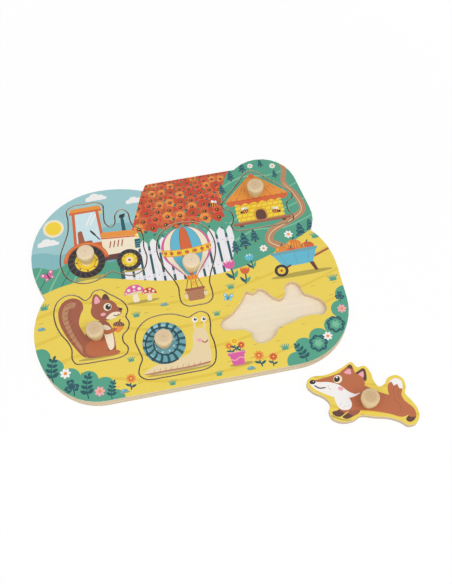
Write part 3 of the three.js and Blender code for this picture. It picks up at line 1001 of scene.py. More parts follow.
@dataclass(frozen=True)
class Balloon(Motif):
    """A hot-air balloon with bright gores and a basket."""

    reach: float = 25
    middle: float = 17.5
    flank: float = 129
    throat: Point = (5.5, -15.4)
    steps: int = 18
    sag: float = 4.5
    dots: int = 9
    gores: tuple[Ink, ...] = (Ink.PINK, Ink.CREAM, Ink.POOL, Ink.POPPY, Ink.POOL, Ink.CREAM, Ink.PINK)

    def profile(self) -> list[Point]:
        """Works out half the envelope's outline.

        Returns:
            Half widths and heights, from its crown to its throat.
        """
        run = []
        for step in range(self.steps + 1):
            angle = math.radians(self.flank * step / self.steps)
            run.append((self.reach * math.sin(angle), self.middle + self.reach * math.cos(angle)))
        return [*run, self.throat]

    def draw(self) -> None:
        """Draws basket, gores, belt, seams and skirt."""
        pen = self.pen
        self.draw_basket()
        profile = self.profile()
        seams = []
        for number in range(len(self.gores) + 1):
            side = math.sin(math.radians(180 * number / len(self.gores) - 90))
            seams.append([(half * side, height) for half, height in profile])
        envelope = pen.patch(self.gores[0], seams[0] + seams[-1][:0:-1])
        for ink, left, right in zip(self.gores, seams, seams[1:]):
            envelope.patch(ink, left + right[:0:-1])
        self.draw_belt(envelope)
        for seam in seams[1:-1]:
            pen.line(Ink.COCOA, seam[1:], 0.35)
        pen.panel(Ink.MARIGOLD, ((-6.2, -14.6), (6.2, -14.6), (4.9, -19.4), (-4.9, -19.4)), 0.8)
        for x in (-3, 0, 3):
            pen.line(Ink.POPPY, ((x * 1.2, -15), (x, -19)), 0.6)

    def draw_belt(self, envelope: Pen) -> None:
        """Draws the curved belt with its dots.

        Args:
            envelope: Pen that stays inside the envelope.
        """
        upper, lower = [], []
        for step in range(self.steps + 1):
            angle = math.radians(180 * step / self.steps - 90)
            x = 1.02 * self.reach * math.sin(angle)
            upper.append((x, 20.5 - self.sag * math.cos(angle)))
            lower.append((x, 13.5 - self.sag * math.cos(angle)))
        envelope.patch(Ink.LEMON, upper + lower[::-1])
        for number in range(self.dots):
            angle = math.radians(19 * number - 76)
            x, y = self.reach * math.sin(angle), 17 - self.sag * math.cos(angle)
            envelope.oval(Ink.POPPY, x, y, 2.1 * math.cos(angle) + 0.25, 2.1)
        for edge in (upper, lower):
            envelope.line(Ink.MARIGOLD, edge[1:-1], 0.8)

    def draw_basket(self) -> None:
        """Draws ropes, flame, basket and sandbags."""
        pen = self.pen
        for top, foot in ((-5, -8.4), (-2, -3.2), (2, 3.2), (5, 8.4)):
            pen.line(Ink.COCOA, ((top, -18), (foot, -30)), 0.7)
        pen.blob(Ink.MARIGOLD, ((-1.7, -26), (-1, -23), (0, -20.4), (1, -23), (1.7, -26), (0, -27)))
        pen.blob(Ink.LEMON, ((-0.8, -26), (0, -23), (0.8, -26), (0, -26.6)))
        basket = pen.panel(Ink.EARTH, ((-9.2, -29.6), (9.2, -29.6), (7.6, -42.6), (-7.6, -42.6)), 1.8)
        for row in range(5):
            y = -33 - 2.1 * row
            basket.line(Ink.BARK, ((-10, y), (10, y)), 0.5)
            for column in range(8):
                x = -8.4 + 2.4 * column + (1.2 if row % 2 else 0)
                basket.line(Ink.BARK, ((x, y + 0.1), (x, y - 2.1)), 0.5)
        pen.panel(Ink.BARK, ((-10, -28.6), (10, -28.6), (9.6, -31.6), (-9.6, -31.6)), 1)
        for x in (-9.6, 9.6):
            bag = ((x - 1.8, -38), (x - 1.1, -33.6), (x + 1.1, -33.6), (x + 1.8, -38), (x, -39.2))
            pen.blob(Ink.SAND, bag)
            pen.line(Ink.COCOA, ((x - 1.2, -33.9), (x + 1.2, -33.9)), 0.6)


@dataclass(frozen=True)
class Hive(Motif):
    """A coiled straw hive under a thatched roof."""

    bands: int = 5
    band: float = 4.7
    bindings: int = 9
    eaves: float = -2.4
    straws: int = 21
    tufts: int = 14

    def draw(self) -> None:
        """Draws stand, coils, entrance, roof and two bees."""
        pen = self.pen
        for x in (-22, 22):
            pen.panel(Ink.COCOA, ((x - 2, -31.6), (x + 2, -31.6), (x + 2, -27), (x - 2, -27)), 0.5)
        pen.panel(Ink.BARK, ((-29.4, -29.6), (29.4, -29.6), (29.4, -26), (-29.4, -26)), 1.2)
        pen.line(Ink.EARTH, ((-28, -26.9), (28, -26.9)), 0.7)
        self.draw_coils()
        pen.panel(Ink.AMBER, (
            (-7.2, -26), (7.2, -26), (7.2, -17.5), (4.2, -12), (-4.2, -12), (-7.2, -17.5)), 4)
        pen.panel(Ink.COCOA, ((-5.4, -26), (5.4, -26), (5.4, -18), (3, -14), (-3, -14), (-5.4, -18)), 3.2)
        self.draw_roof()
        Bee(pen.at(-15, -13.4, 14, 0.95)).draw()
        Bee(pen.at(15.5, -19, -16, 0.95, True)).draw()

    def draw_coils(self) -> None:
        """Draws the straw coils with their bindings."""
        edge = self.band / 2
        for number in range(self.bands):
            half = 23.6 + 1.2 * math.sin(math.pi * (number + 1) / (self.bands + 1))
            outline = ((-half, -edge), (half, -edge), (half, edge), (-half, edge))
            pen = self.pen.at(0, self.eaves - self.band * (number + 0.5))
            coil = pen.panel(Ink.LEMON, outline, edge)
            coil.line(Ink.AMBER, ((-half + 1, -edge + 0.5), (half - 1, -edge + 0.5)), 0.9)
            for step in range(self.bindings):
                x = -half + 2 + 5.6 * step + (2.8 if number % 2 else 0)
                coil.line(Ink.AMBER, ((x, -edge), (x + 1.4, edge)), 0.7)

    def draw_roof(self) -> None:
        """Draws the thatch with its straws and its cut edge."""
        pen = self.pen
        roof = pen.panel(Ink.MARIGOLD, ((0, 31.6), (33, 1.2), (31.2, -4.2), (-31.2, -4.2), (-33, 1.2)), 3)
        for number in range(self.straws):
            foot = -34 + 3.4 * number
            top = 0.12 * foot
            for share, low in ((0.0, 0.34), (0.42, 0.72), (0.78, 1.0)):
                shift = 0.05 * (number % 3)
                start = (top + (foot - top) * (share + shift), 30 - 33 * (share + shift))
                end = (top + (foot - top) * (low - shift), 30 - 33 * (low - shift))
                ink = Ink.FURROW if number % 2 else Ink.AMBER
                roof.line(ink, (start, end), 0.6, 0.6)
        edge = []
        for step in range(self.tufts + 1):
            x = -31.6 + 63.2 * step / self.tufts
            edge.append((x, -6 if step % 2 else -3.4))
        pen.patch(Ink.POPPY, [(-32.6, 0.4), *edge, (32.6, 0.4)])
        pen.line(Ink.FURROW, ((-32, 0.3), (32, 0.3)), 0.7)
        pen.panel(Ink.POPPY, ((-4, 27), (0, 32.4), (4, 27), (0, 25)), 1.2)


@dataclass(frozen=True)
class Squirrel(Motif):
    """A squirrel that sits with an acorn."""

    hairs: int = 9

    def draw(self) -> None:
        """Draws the shade, tail, body, legs, head and acorn, then the arm that holds it."""
        pen = self.pen
        pen.oval(Ink.OLIVE, 2, -33.6, 20, 1.6)
        self.draw_tail()
        pen.blob(Ink.BARK, (
            (-9, -32), (-13, -24), (-10, -11), (-2, 0), (6, 4), (14, 2), (18, -8), (18.6, -21), (17, -32),
            (4, -33.4)))
        pen.blob(Ink.CREAM, ((9.6, -2), (15.4, -4), (17.6, -13), (17, -25), (12.6, -28), (10.2, -18)))
        pen.oval(Ink.RUST, 0.6, -23.4, 10.6, 9)
        pen.line(Ink.BARK, ((-7, -16), (0, -14.2), (7.6, -17)), 0.7)
        pen.oval(Ink.RUST, 12.6, -31.4, 9.4, 2.7)
        for x in (17, 19.2):
            pen.line(Ink.BARK, ((x, -32.6), (x + 0.9, -30.8)), 0.5)
        self.draw_head()
        self.draw_acorn()
        pen.line(Ink.RUST, ((5, -4.6), (12, -9.4), (20.6, -7.6)), 5.2, 0.75)
        pen.line(Ink.BARK, ((19.6, -6.4), (21.4, -7)), 0.5)

    def draw_tail(self) -> None:
        """Draws the bushy tail with its pale stripe and hairs."""
        pen = self.pen
        tail = pen.blob(Ink.BARK, (
            (-12, -31), (-20, -19), (-27, -4), (-30.8, 9), (-30.4, 22), (-24.6, 31), (-15.4, 33.4), (-8, 29),
            (-6.4, 21), (-10, 14), (-12.6, 4), (-8.6, -8), (-4.6, -18), (-5.4, -29)))
        stripe = ((-11, -27), (-18.4, -12), (-23, 2), (-25, 14), (-22.4, 23.4), (-15.6, 26.4))
        tail.line(Ink.EARTH, stripe, 3, 2.2)
        for number in range(self.hairs):
            y = -17 + 5.2 * number
            x = -18 - 6.4 * math.sin(math.pi * (number + 1.6) / 11)
            tail.line(Ink.COCOA, ((x - 2, y + 1), (x + 2.4, y + 2.6), (x + 6, y + 6.4)), 0.55, 0.4)

    def draw_head(self) -> None:
        """Draws ears, head, muzzle, eye, nose, mouth and cheek."""
        pen = self.pen
        pen.blob(Ink.COCOA, ((12, 23), (13.4, 30), (16.6, 32), (19.2, 28), (19.4, 22)))
        pen.oval(Ink.BARK, 13, 14.6, 13, 11.6)
        pen.oval(Ink.BARK, 22.6, 10.8, 7, 5.6)
        pen.blob(Ink.BARK, ((2.4, 20), (3.8, 30.6), (7.2, 33.6), (11, 29.6), (13, 23)))
        pen.blob(Ink.ROSE, ((5, 23), (5.6, 29), (7.6, 31), (9.6, 28), (10, 24)))
        pen.blob(Ink.CREAM, ((13.4, 5.4), (19, 10), (25, 10.4), (28, 8.6), (24.6, 5.6), (18, 3.6)))
        pen.oval(Ink.CREAM, 16.6, 17.4, 3.9, 4.2)
        pen.oval(Ink.NIGHT, 17.2, 17.2, 2.7, 3.1)
        pen.oval(Ink.CLOUD, 18.2, 18.6, 0.95)
        pen.oval(Ink.NIGHT, 28.6, 12.4, 1.8, 1.4)
        pen.line(Ink.COCOA, ((21.2, 7.2), (24, 6.4), (26.2, 7.6)), 1.0)
        pen.oval(Ink.ROSE, 11.4, 10.2, 2.5, 1.8)

    def draw_acorn(self) -> None:
        """Draws the acorn with its netted cap."""
        nut = self.pen.at(24, -5.4, -14)
        nut.blob(Ink.MARIGOLD, ((-4.4, 1), (-3.8, -3.4), (0, -6.8), (3.8, -3.4), (4.4, 1)))
        nut.line(Ink.LEMON, ((-2.6, -0.4), (-2.2, -2.8)), 0.9)
        cap = nut.blob(Ink.COCOA, ((-5.2, 0.8), (-4.4, 3.6), (0, 5.4), (4.4, 3.6), (5.2, 0.8), (0, 0)))
        for x in (-3.4, -1.2, 1.2, 3.4):
            cap.line(Ink.EARTH, ((x - 1.2, 0), (x + 1, 5)), 0.35)
            cap.line(Ink.EARTH, ((x + 1.2, 0), (x - 1, 5)), 0.35)
        nut.line(Ink.COCOA, ((0, 5), (0.8, 7.4)), 1.2)


@dataclass(frozen=True)
class Snail(Motif):
    """A snail with a striped shell that winds round the knob."""

    middle: Point = (-9.6, 2.2)
    reach: float = 20.6
    turns: float = 2.1
    steps: int = 45
    stripes: int = 16
    dots: int = 9
    folds: int = 9

    def draw(self) -> None:
        """Draws the shade, feelers, foot, face and shell."""
        pen = self.pen
        pen.oval(Ink.OLIVE, 0, -28.8, 31, 1.5)
        for root, bend, tip in (((23, 8), (21.6, 14), (23.2, 20.6)), ((29, 8), (31.4, 13), (31.6, 19.4))):
            pen.line(Ink.SAND, (root, bend, tip), 2.6, 0.8)
            pen.oval(Ink.CLOUD, *tip, 2.7)
            pen.oval(Ink.NIGHT, tip[0] + 0.5, tip[1] + 0.2, 1.5)
            pen.oval(Ink.CLOUD, tip[0] + 1, tip[1] + 0.8, 0.5)
        body = pen.blob(Ink.SAND, (
            (-33, -26.4), (-20, -28.2), (8, -28.2), (27, -27.4), (31.6, -20), (32.2, -8), (32.6, 2),
            (30, 9.4), (24, 11), (18.6, 6), (16.4, -6), (10, -14), (-6, -17), (-20, -19), (-30, -23)))
        body.line(Ink.EARTH, ((-34, -27), (-16, -26.6), (10, -26.8), (30, -25.6)), 2.2)
        for number in range(self.folds):
            x = -24 + 5.4 * number
            body.line(Ink.EARTH, ((x, -25.6), (x + 1.6, -22.8)), 0.6, 0.5)
        pen.oval(Ink.ROSE, 23.6, -1.6, 2.4, 1.8)
        pen.line(Ink.BARK, ((26, -3.2), (28.6, -4.9), (31.2, -3)), 1.2)
        self.draw_shell()

    def draw_shell(self) -> None:
        """Draws shell, stripes, dots and winding line."""
        pen = self.pen.at(*self.middle)
        shell = pen.oval(Ink.SLATE, 0, 0, self.reach, self.reach * 1.06)
        shell.oval(Ink.SKY, -1.5, 1.5, 0.86 * self.reach, 0.9 * self.reach)
        shell.oval(Ink.SLATE, 0, 0, 0.8 * self.reach, 0.84 * self.reach)
        for spoke in shell.spokes(self.stripes):
            spoke.line(Ink.PINE, ((11.6, 0), (15.4, 1.6), (self.reach + 1.5, 1.2)), 1.5, 2.2)
        for spoke in shell.spokes(self.dots, 12):
            spoke.oval(Ink.GLASS, 9.6, 0, 1.0, 0.7)
        winding = []
        for step in range(self.steps + 1):
            share = step / self.steps
            angle = math.radians(-60) - share * self.turns * 2 * math.pi
            reach = self.reach * (0.99 - 0.8 * share)
            winding.append((reach * math.cos(angle), 1.05 * reach * math.sin(angle)))
        pen.line(Ink.DEEP, winding, 1.9, 0.6)


@dataclass(frozen=True)
class Fox(Motif):
    """A fox that leaps to the left, with its tail up."""

    hairs: int = 6

    def draw(self) -> None:
        """Draws the shade, tail, legs, body, chest and head."""
        pen = self.pen
        pen.line(Ink.OLIVE, ((-22, -28.2), (-12, -28.6), (-4, -26)), 1.6, 0.5)
        self.draw_tail()
        self.draw_legs()
        pen.blob(Ink.RUST, (
            (-16, 8), (-2, 10.6), (12, 9), (26, 9.6), (36, 9), (43, 4.6), (44, -2), (38, -7.6), (27, -8.4),
            (12, -11), (0, -14.4), (-9, -17.6), (-17, -14), (-20, -3)))
        pen.blob(Ink.CLOUD, (
            (-24, -4), (-14, -5), (-8, -11), (-9, -17), (-16, -19.4), (-22, -15), (-25.4, -9)))
        for x, y in ((-18, -16), (-14.4, -17.6), (-11.2, -15.6)):
            pen.line(Ink.FENCE_SHADE, ((x, y), (x + 1.2, y + 3)), 0.5)
        pen.line(Ink.BARK, ((27, 7), (34, 3), (35.6, -3.6)), 0.8, 0.5)
        for number in range(self.hairs):
            x = -2 + 4.6 * number
            pen.line(Ink.BARK, ((x, 8.2), (x + 2.6, 6.6)), 0.6, 0.5)
        self.draw_head()

    def draw_tail(self) -> None:
        """Draws the raised brush with its white tip."""
        pen = self.pen
        brush = pen.blob(Ink.RUST, (
            (25, 7), (19, 14.4), (18.8, 22.4), (22.8, 27.4), (28.6, 26.8), (31.6, 21), (32.4, 13.6), (36, 8)))
        brush.patch(Ink.CLOUD, (
            (14, 34), (14, 21.6), (18, 20.4), (20.6, 22.8), (23.4, 19.6), (26, 22.4), (29, 19), (35, 20),
            (35, 34)))
        brush.line(Ink.BARK, ((28, 9), (24.4, 14), (24, 18.6)), 0.7, 0.5)
        brush.line(Ink.BARK, ((31.4, 10), (28.8, 14), (28.6, 17.4)), 0.7, 0.5)

    def draw_legs(self) -> None:
        """Draws the stretched hind leg and both fore legs with dark paws."""
        pen = self.pen
        hind = pen.blob(Ink.RUST, (
            (30, 7), (40, 7.2), (47, 4), (50.4, -1.6), (49.4, -7), (46, -9.8), (42.4, -8.2), (43.4, -3),
            (37, -6), (30, -6)))
        hind.blob(Ink.COCOA, ((41, -3.6), (46, -4.6), (52, -3), (52, -12), (41, -12)))
        far = pen.blob(Ink.BARK, (
            (-8, -10), (0, -12), (0.6, -17), (-3.4, -22), (-8, -26.4), (-12.6, -26), (-9.6, -21), (-8, -16)))
        far.blob(Ink.COCOA, ((-14, -21.6), (-7, -21), (-2, -23), (-4, -30), (-16, -30)))
        near = pen.blob(Ink.RUST, (
            (-17, -8), (-9, -10), (-7.6, -16), (-11.4, -22), (-15, -26.8), (-20.4, -27), (-22.6, -24.4),
            (-18.4, -21), (-17.6, -15)))
        near.blob(Ink.COCOA, ((-25, -20.6), (-18, -20.4), (-11, -22.6), (-12, -30), (-26, -30)))

    def draw_head(self) -> None:
        """Draws ears, head, white cheek, nose, eye, mouth and freckles."""
        pen = self.pen
        pen.blob(Ink.COCOA, ((-14, 17), (-11, 23.6), (-7.6, 27), (-4, 23), (-2.4, 15)))
        pen.blob(Ink.ROSE, ((-11, 18), (-9, 22.4), (-7.2, 23.6), (-5.6, 20.4), (-6, 17)))
        head = pen.blob(Ink.RUST, (
            (-50.4, -3.4), (-42, 3.4), (-33, 10), (-26, 16), (-16, 19.6), (-6, 17.6), (-2, 10.6), (-4.6, 1),
            (-12, -6), (-24, -9.8), (-36, -9.8), (-46, -8)))
        pen.blob(Ink.RUST, ((-27, 14), (-23.6, 22), (-20, 26.2), (-16.4, 23), (-13.6, 17)))
        pen.blob(Ink.COCOA, ((-22.8, 23.4), (-20.2, 26.4), (-17.4, 23.6), (-20, 22)))
        pen.blob(Ink.ROSE, ((-23.4, 16.4), (-21.2, 21), (-19.6, 22), (-17.8, 19.6), (-17.4, 17)))
        head.blob(Ink.CLOUD, (
            (-54, -2.6), (-44, -1), (-34, 2.6), (-24, 3), (-15, 0), (-8, -0.4), (-4, 2), (-8, -8), (-24, -14),
            (-44, -14), (-56, -8)))
        pen.oval(Ink.NIGHT, -48.4, -2.6, 2.9, 2.2, 30)
        pen.oval(Ink.ROSE, -47.8, -1.8, 0.8, 0.5, 30)
        pen.oval(Ink.CREAM, -27.2, 8.2, 3.9, 4.3, -14)
        pen.oval(Ink.NIGHT, -28, 8, 2.6, 3.2, -14)
        pen.oval(Ink.CLOUD, -28.6, 9.6, 0.95)
        pen.line(Ink.COCOA, ((-45.4, -5.4), (-40.6, -6.2), (-36, -4)), 1.3)
        pen.oval(Ink.ROSE, -22, 0, 2.6, 1.9)
        for x, y in ((-33.6, -1.6), (-31.4, -3.6), (-35.2, -3.8)):
            pen.oval(Ink.EARTH, x, y, 0.5)


# Shaders


@dataclass(frozen=True)
class Socket:
    """A shader output that takes part in Python expressions."""

    graph: "ShaderGraph"
    link: bpy.types.NodeSocket | None

    def __add__(self, other: "Term") -> "Socket":
        """Returns the sum."""
        return self.graph.maths("ADD", self, other)

    def __radd__(self, other: float) -> "Socket":
        """Returns the sum with a number before."""
        return self.graph.maths("ADD", other, self)

    def __sub__(self, other: "Term") -> "Socket":
        """Returns the difference."""
        return self.graph.maths("SUBTRACT", self, other)

    def __rsub__(self, other: float) -> "Socket":
        """Returns a number less this."""
        return self.graph.maths("SUBTRACT", other, self)

    def __mul__(self, other: "Term") -> "Socket":
        """Returns the product."""
        return self.graph.maths("MULTIPLY", self, other)

    def __rmul__(self, other: float) -> "Socket":
        """Returns the product with a number before."""
        return self.graph.maths("MULTIPLY", other, self)

    def __truediv__(self, other: "Term") -> "Socket":
        """Returns the quotient."""
        return self.graph.maths("DIVIDE", self, other)

    def __rtruediv__(self, other: float) -> "Socket":
        """Returns a number divided by this."""
        return self.graph.maths("DIVIDE", other, self)

    def clamped(self) -> "Socket":
        """Returns the value kept from 0 to 1."""
        return self.graph.node("ShaderNodeClamp", None, {0: self})


Term = Socket | float


@dataclass(frozen=True)
class ShaderGraph:
    """The nodes of one material or world."""

    tree: bpy.types.NodeTree

    @classmethod
    def of(cls, owner: Material | bpy.types.World) -> "ShaderGraph":
        """Starts the nodes of a material or world afresh.

        Args:
            owner: What the nodes belong to.

        Returns:
            Its graph, still without nodes.
        """
        owner.use_nodes = True
        owner.node_tree.nodes.clear()
        return cls(owner.node_tree)

    def node(self, kind: str, settings: dict | None = None, sockets: dict | None = None,
             output: int | str = 0) -> Socket:
        """Adds a node.

        Args:
            kind: The node's type.
            settings: Its settings, with a ramp's stops as pairs of place and colour.
            sockets: Values or links of its inputs, by name or number.
            output: Name or number of the output that is wanted.

        Returns:
            That output.
        """
        made = self.tree.nodes.new(kind)
        for name, value in (settings or {}).items():
            if name == "stops":
                self.set_stops(made.color_ramp, value)
            else:
                setattr(made, name, value)
        for key, value in (sockets or {}).items():
            if isinstance(value, Socket):
                self.tree.links.new(value.link, made.inputs[key])
            else:
                made.inputs[key].default_value = value
        return Socket(self, made.outputs[output] if len(made.outputs) else None)

    @staticmethod
    def set_stops(ramp: bpy.types.ColorRamp, stops: Sequence[tuple[float, Colour]]) -> None:
        """Sets a new ramp's stops.

        Args:
            ramp: The ramp, which starts with two stops.
            stops: Two or more places from 0 to 1, each with its colour.
        """
        while len(ramp.elements) < len(stops):
            ramp.elements.new(0.5)
        for element, (place, colour) in zip(ramp.elements, stops):
            element.position = place
            element.color = colour

    def maths(self, operation: str, first: Term, second: Term = 0.0) -> Socket:
        """Returns the outcome of a Math node."""
        return self.node("ShaderNodeMath", {"operation": operation}, {0: first, 1: second})

    def mix(self, factor: Term, low: Socket | Colour, high: Socket | Colour, blend: str = "MIX") -> Socket:
        """Returns a mix of two colours."""
        settings = {"data_type": "RGBA", "blend_type": blend}
        return self.node("ShaderNodeMix", settings, {0: factor, MIX_LOW: low, MIX_HIGH: high}, MIX_RESULT)

    def ramp(self, factor: Socket, *stops: tuple[float, Colour]) -> Socket:
        """Returns a colour from stops of place and colour."""
        return self.node("ShaderNodeValToRGB", {"stops": stops}, {0: factor})

    def noise(self, place: Socket, grains: Triple, detail: float, turn: float = 0.0) -> Socket:
        """Adds noise that is stretched along the axes.

        Args:
            place: Where the noise is looked up.
            grains: Grains to the metre along each axis.
            detail: Number of finer layers.
            turn: Turn of the axes about Z in degrees.

        Returns:
            The noise's value.
        """
        rotation = (0.0, 0.0, math.radians(turn))
        turned = self.node("ShaderNodeMapping", None, {"Vector": place, "Rotation": rotation})
        scaled = self.node("ShaderNodeMapping", None, {"Vector": turned, "Scale": grains})
        return self.node("ShaderNodeTexNoise", None, {"Vector": scaled, "Scale": 1.0, "Detail": detail})

    def own_place(self) -> Socket:
        """Returns the piece's own coordinates."""
        return self.node("ShaderNodeTexCoord", output="Object")

    def attribute(self, name: str, output: str = "Fac") -> Socket:
        """Returns an attribute of the piece's mesh."""
        return self.node("ShaderNodeAttribute", {"attribute_name": name}, output=output)

    def height(self, place: Socket) -> Socket:
        """Returns the Z of a place."""
        return self.node("ShaderNodeSeparateXYZ", None, {0: place}, "Z")

    def length(self, place: Socket) -> Socket:
        """Returns the distance of a place from the origin."""
        return self.node("ShaderNodeVectorMath", {"operation": "LENGTH"}, {0: place}, "Value")

    def relief(self, height: Socket, depth: float, strength: float) -> Socket:
        """Returns normals of a bump with its depth in millimetres."""
        sockets = {"Height": height, "Distance": depth * MM, "Strength": strength}
        return self.node("ShaderNodeBump", None, sockets)


class Finish(ABC):
    """A surface finish that makes its own material."""

    name: str

    @abstractmethod
    def inputs(self, graph: ShaderGraph) -> dict:
        """Works out the surface shader's inputs.

        Args:
            graph: The material's nodes.

        Returns:
            The inputs by their names.
        """

    def material(self) -> Material:
        """Makes the finish's material.

        Returns:
            A material with the finish's nodes.
        """
        made = bpy.data.materials.new(self.name)
        graph = ShaderGraph.of(made)
        surface = graph.node("ShaderNodeBsdfPrincipled", None, self.inputs(graph))
        graph.node("ShaderNodeOutputMaterial", None, {"Surface": surface})
        return made


@dataclass(frozen=True)
class PrintedInk(Finish):
    """Satin ink on wood: the patch colours, with the grain just showing through."""

    name: str = "printed_ink"
    attribute: str = "ink"
    grain: Triple = (22, 620, 300)
    speckle: Triple = (1900, 1900, 1900)
    cloud: Triple = (60, 60, 60)

    def inputs(self, graph: ShaderGraph) -> dict:
        """Shades the ink by grain, speckles and clouds, with a fine relief.

        Args:
            graph: The material's nodes.

        Returns:
            The inputs by their names.
        """
        place = graph.own_place()
        grain = graph.noise(place, self.grain, 4)
        speckle = graph.noise(place, self.speckle, 2)
        cloudy = graph.noise(place, self.cloud, 2)
        shade = 0.915 + 0.07 * grain + 0.07 * speckle + 0.03 * cloudy
        return {
            "Base Color": graph.mix(1.0, graph.attribute(self.attribute, "Color"), shade, "MULTIPLY"),
            "Roughness": 0.4 + 0.16 * speckle + 0.08 * grain,
            "Specular IOR Level": 0.4,
            "Normal": graph.relief(0.7 * grain + 0.3 * speckle, depth=0.06, strength=0.35),
        }


@dataclass(frozen=True)
class PaleWood(Finish):
    """A sanded veneer of pale wood with its grain along the tray's width."""

    name: str = "pale_veneer"
    turn: float = 0.0
    light: str = "F0E4CE"
    dark: str = "E5D6BB"
    vein: str = "D9C7A6"
    figure: Triple = (5, 70, 70)
    fibre: Triple = (26, 900, 900)
    pores: Triple = (120, 2600, 2600)

    def inputs(self, graph: ShaderGraph) -> dict:
        """Colours the veneer by broad figure, fine fibres and short pores.

        Args:
            graph: The material's nodes.

        Returns:
            The inputs by their names.
        """
        place = graph.own_place()
        figure = graph.noise(place, self.figure, 3, self.turn)
        fibre = graph.noise(place, self.fibre, 4, self.turn)
        pores = graph.noise(place, self.pores, 1, self.turn)
        base = graph.ramp(0.6 * figure + 0.4 * fibre, (0.3, linear(self.dark)), (0.66, linear(self.light)))
        streak = graph.ramp(pores, (0.6, BLACK), (0.72, WHITE))
        return {
            "Base Color": graph.mix(0.35 * streak, base, linear(self.vein)),
            "Roughness": 0.56 + 0.14 * fibre,
            "Specular IOR Level": 0.35,
            "Normal": graph.relief(0.6 * fibre + 0.4 * pores, depth=0.08, strength=0.4),
        }


@dataclass(frozen=True)
class PlyEdge(Finish):
    """The cut edge of a node's three-ply board, with painted shade that darkens it towards its foot."""

    name: str
    node: str
    # Painted shade for a narrow gap: its strength, the share of the height where it starts, how fast it grows
    # downwards, and its deep brown
    painted_shade: float = 0.0
    painted_shade_from: float = 0.98
    painted_shade_rise: float = 1.15
    painted_shade_tone: str = "84481F"
    face: str = "E2D2B5"
    core: str = "D8C4A3"
    glue: str = "C7B08B"
    waver: Triple = (260, 260, 60)
    fibre: Triple = (700, 700, 2600)
    cloud: Triple = (90, 90, 400)

    def inputs(self, graph: ShaderGraph) -> dict:
        """Colours the plies across the thickness, their fibres and the painted shade towards the foot.

        Args:
            graph: The material's nodes.

        Returns:
            The inputs by their names.
        """
        low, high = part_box(self.node)
        place = graph.own_place()
        height = (graph.height(place) - low.z) / (high.z - low.z)
        waver = graph.noise(place, self.waver, 2)
        stops = []
        for start, end, ply in ((0.0, 0.235, self.face), (0.255, 0.275, self.glue), (0.295, 0.705, self.core),
                                (0.725, 0.745, self.glue), (0.765, 1.0, self.face)):
            stops += [(start, linear(ply)), (end, linear(ply))]
        bands = graph.ramp(height + 0.05 * waver - 0.025, *stops)
        fibre = graph.noise(place, self.fibre, 3)
        shade = 0.84 + 0.2 * fibre + 0.1 * graph.noise(place, self.cloud, 3)
        # Painted shade: the plies turn deep brown from this height down, where the gap round a piece is dark
        painted_shade = self.painted_shade * (self.painted_shade_rise * (self.painted_shade_from - height)).clamped()
        shaded_bands = graph.mix(painted_shade, bands, linear(self.painted_shade_tone))
        return {
            "Base Color": graph.mix(1.0, shaded_bands, shade, "MULTIPLY"),
            "Roughness": 0.66 + 0.16 * fibre,
            "Specular IOR Level": 0.3,
            "Normal": graph.relief(fibre, depth=0.12, strength=0.45),
        }


@dataclass(frozen=True)
class WellEdge(PlyEdge):
    """The wall of a well that holds its piece, with painted shade towards its foot for the dark gap round the
    piece.
    """

    painted_shade: float = 0.4


@dataclass(frozen=True)
class OpenWellEdge(PlyEdge):
    """The wall of the empty well, with painted shade only near its foot, and lighter plies as painted light
    where the lamps reach it.
    """

    painted_shade: float = 0.3
    painted_shade_from: float = 0.34
    painted_shade_rise: float = 2.5
    # Lighter plies than the other edges: painted light on a wall that no piece shades
    face: str = "EED9B4"
    core: str = "E8CEA2"
    glue: str = "DCBE92"


@dataclass(frozen=True)
class PlateEdge(PlyEdge):
    """The edge of a lift-out plate, with painted shade that darkens it from its top down, for the dark gap
    round a seated plate.
    """

    painted_shade: float = 0.5
    painted_shade_from: float = 1.15
    painted_shade_rise: float = 1.8


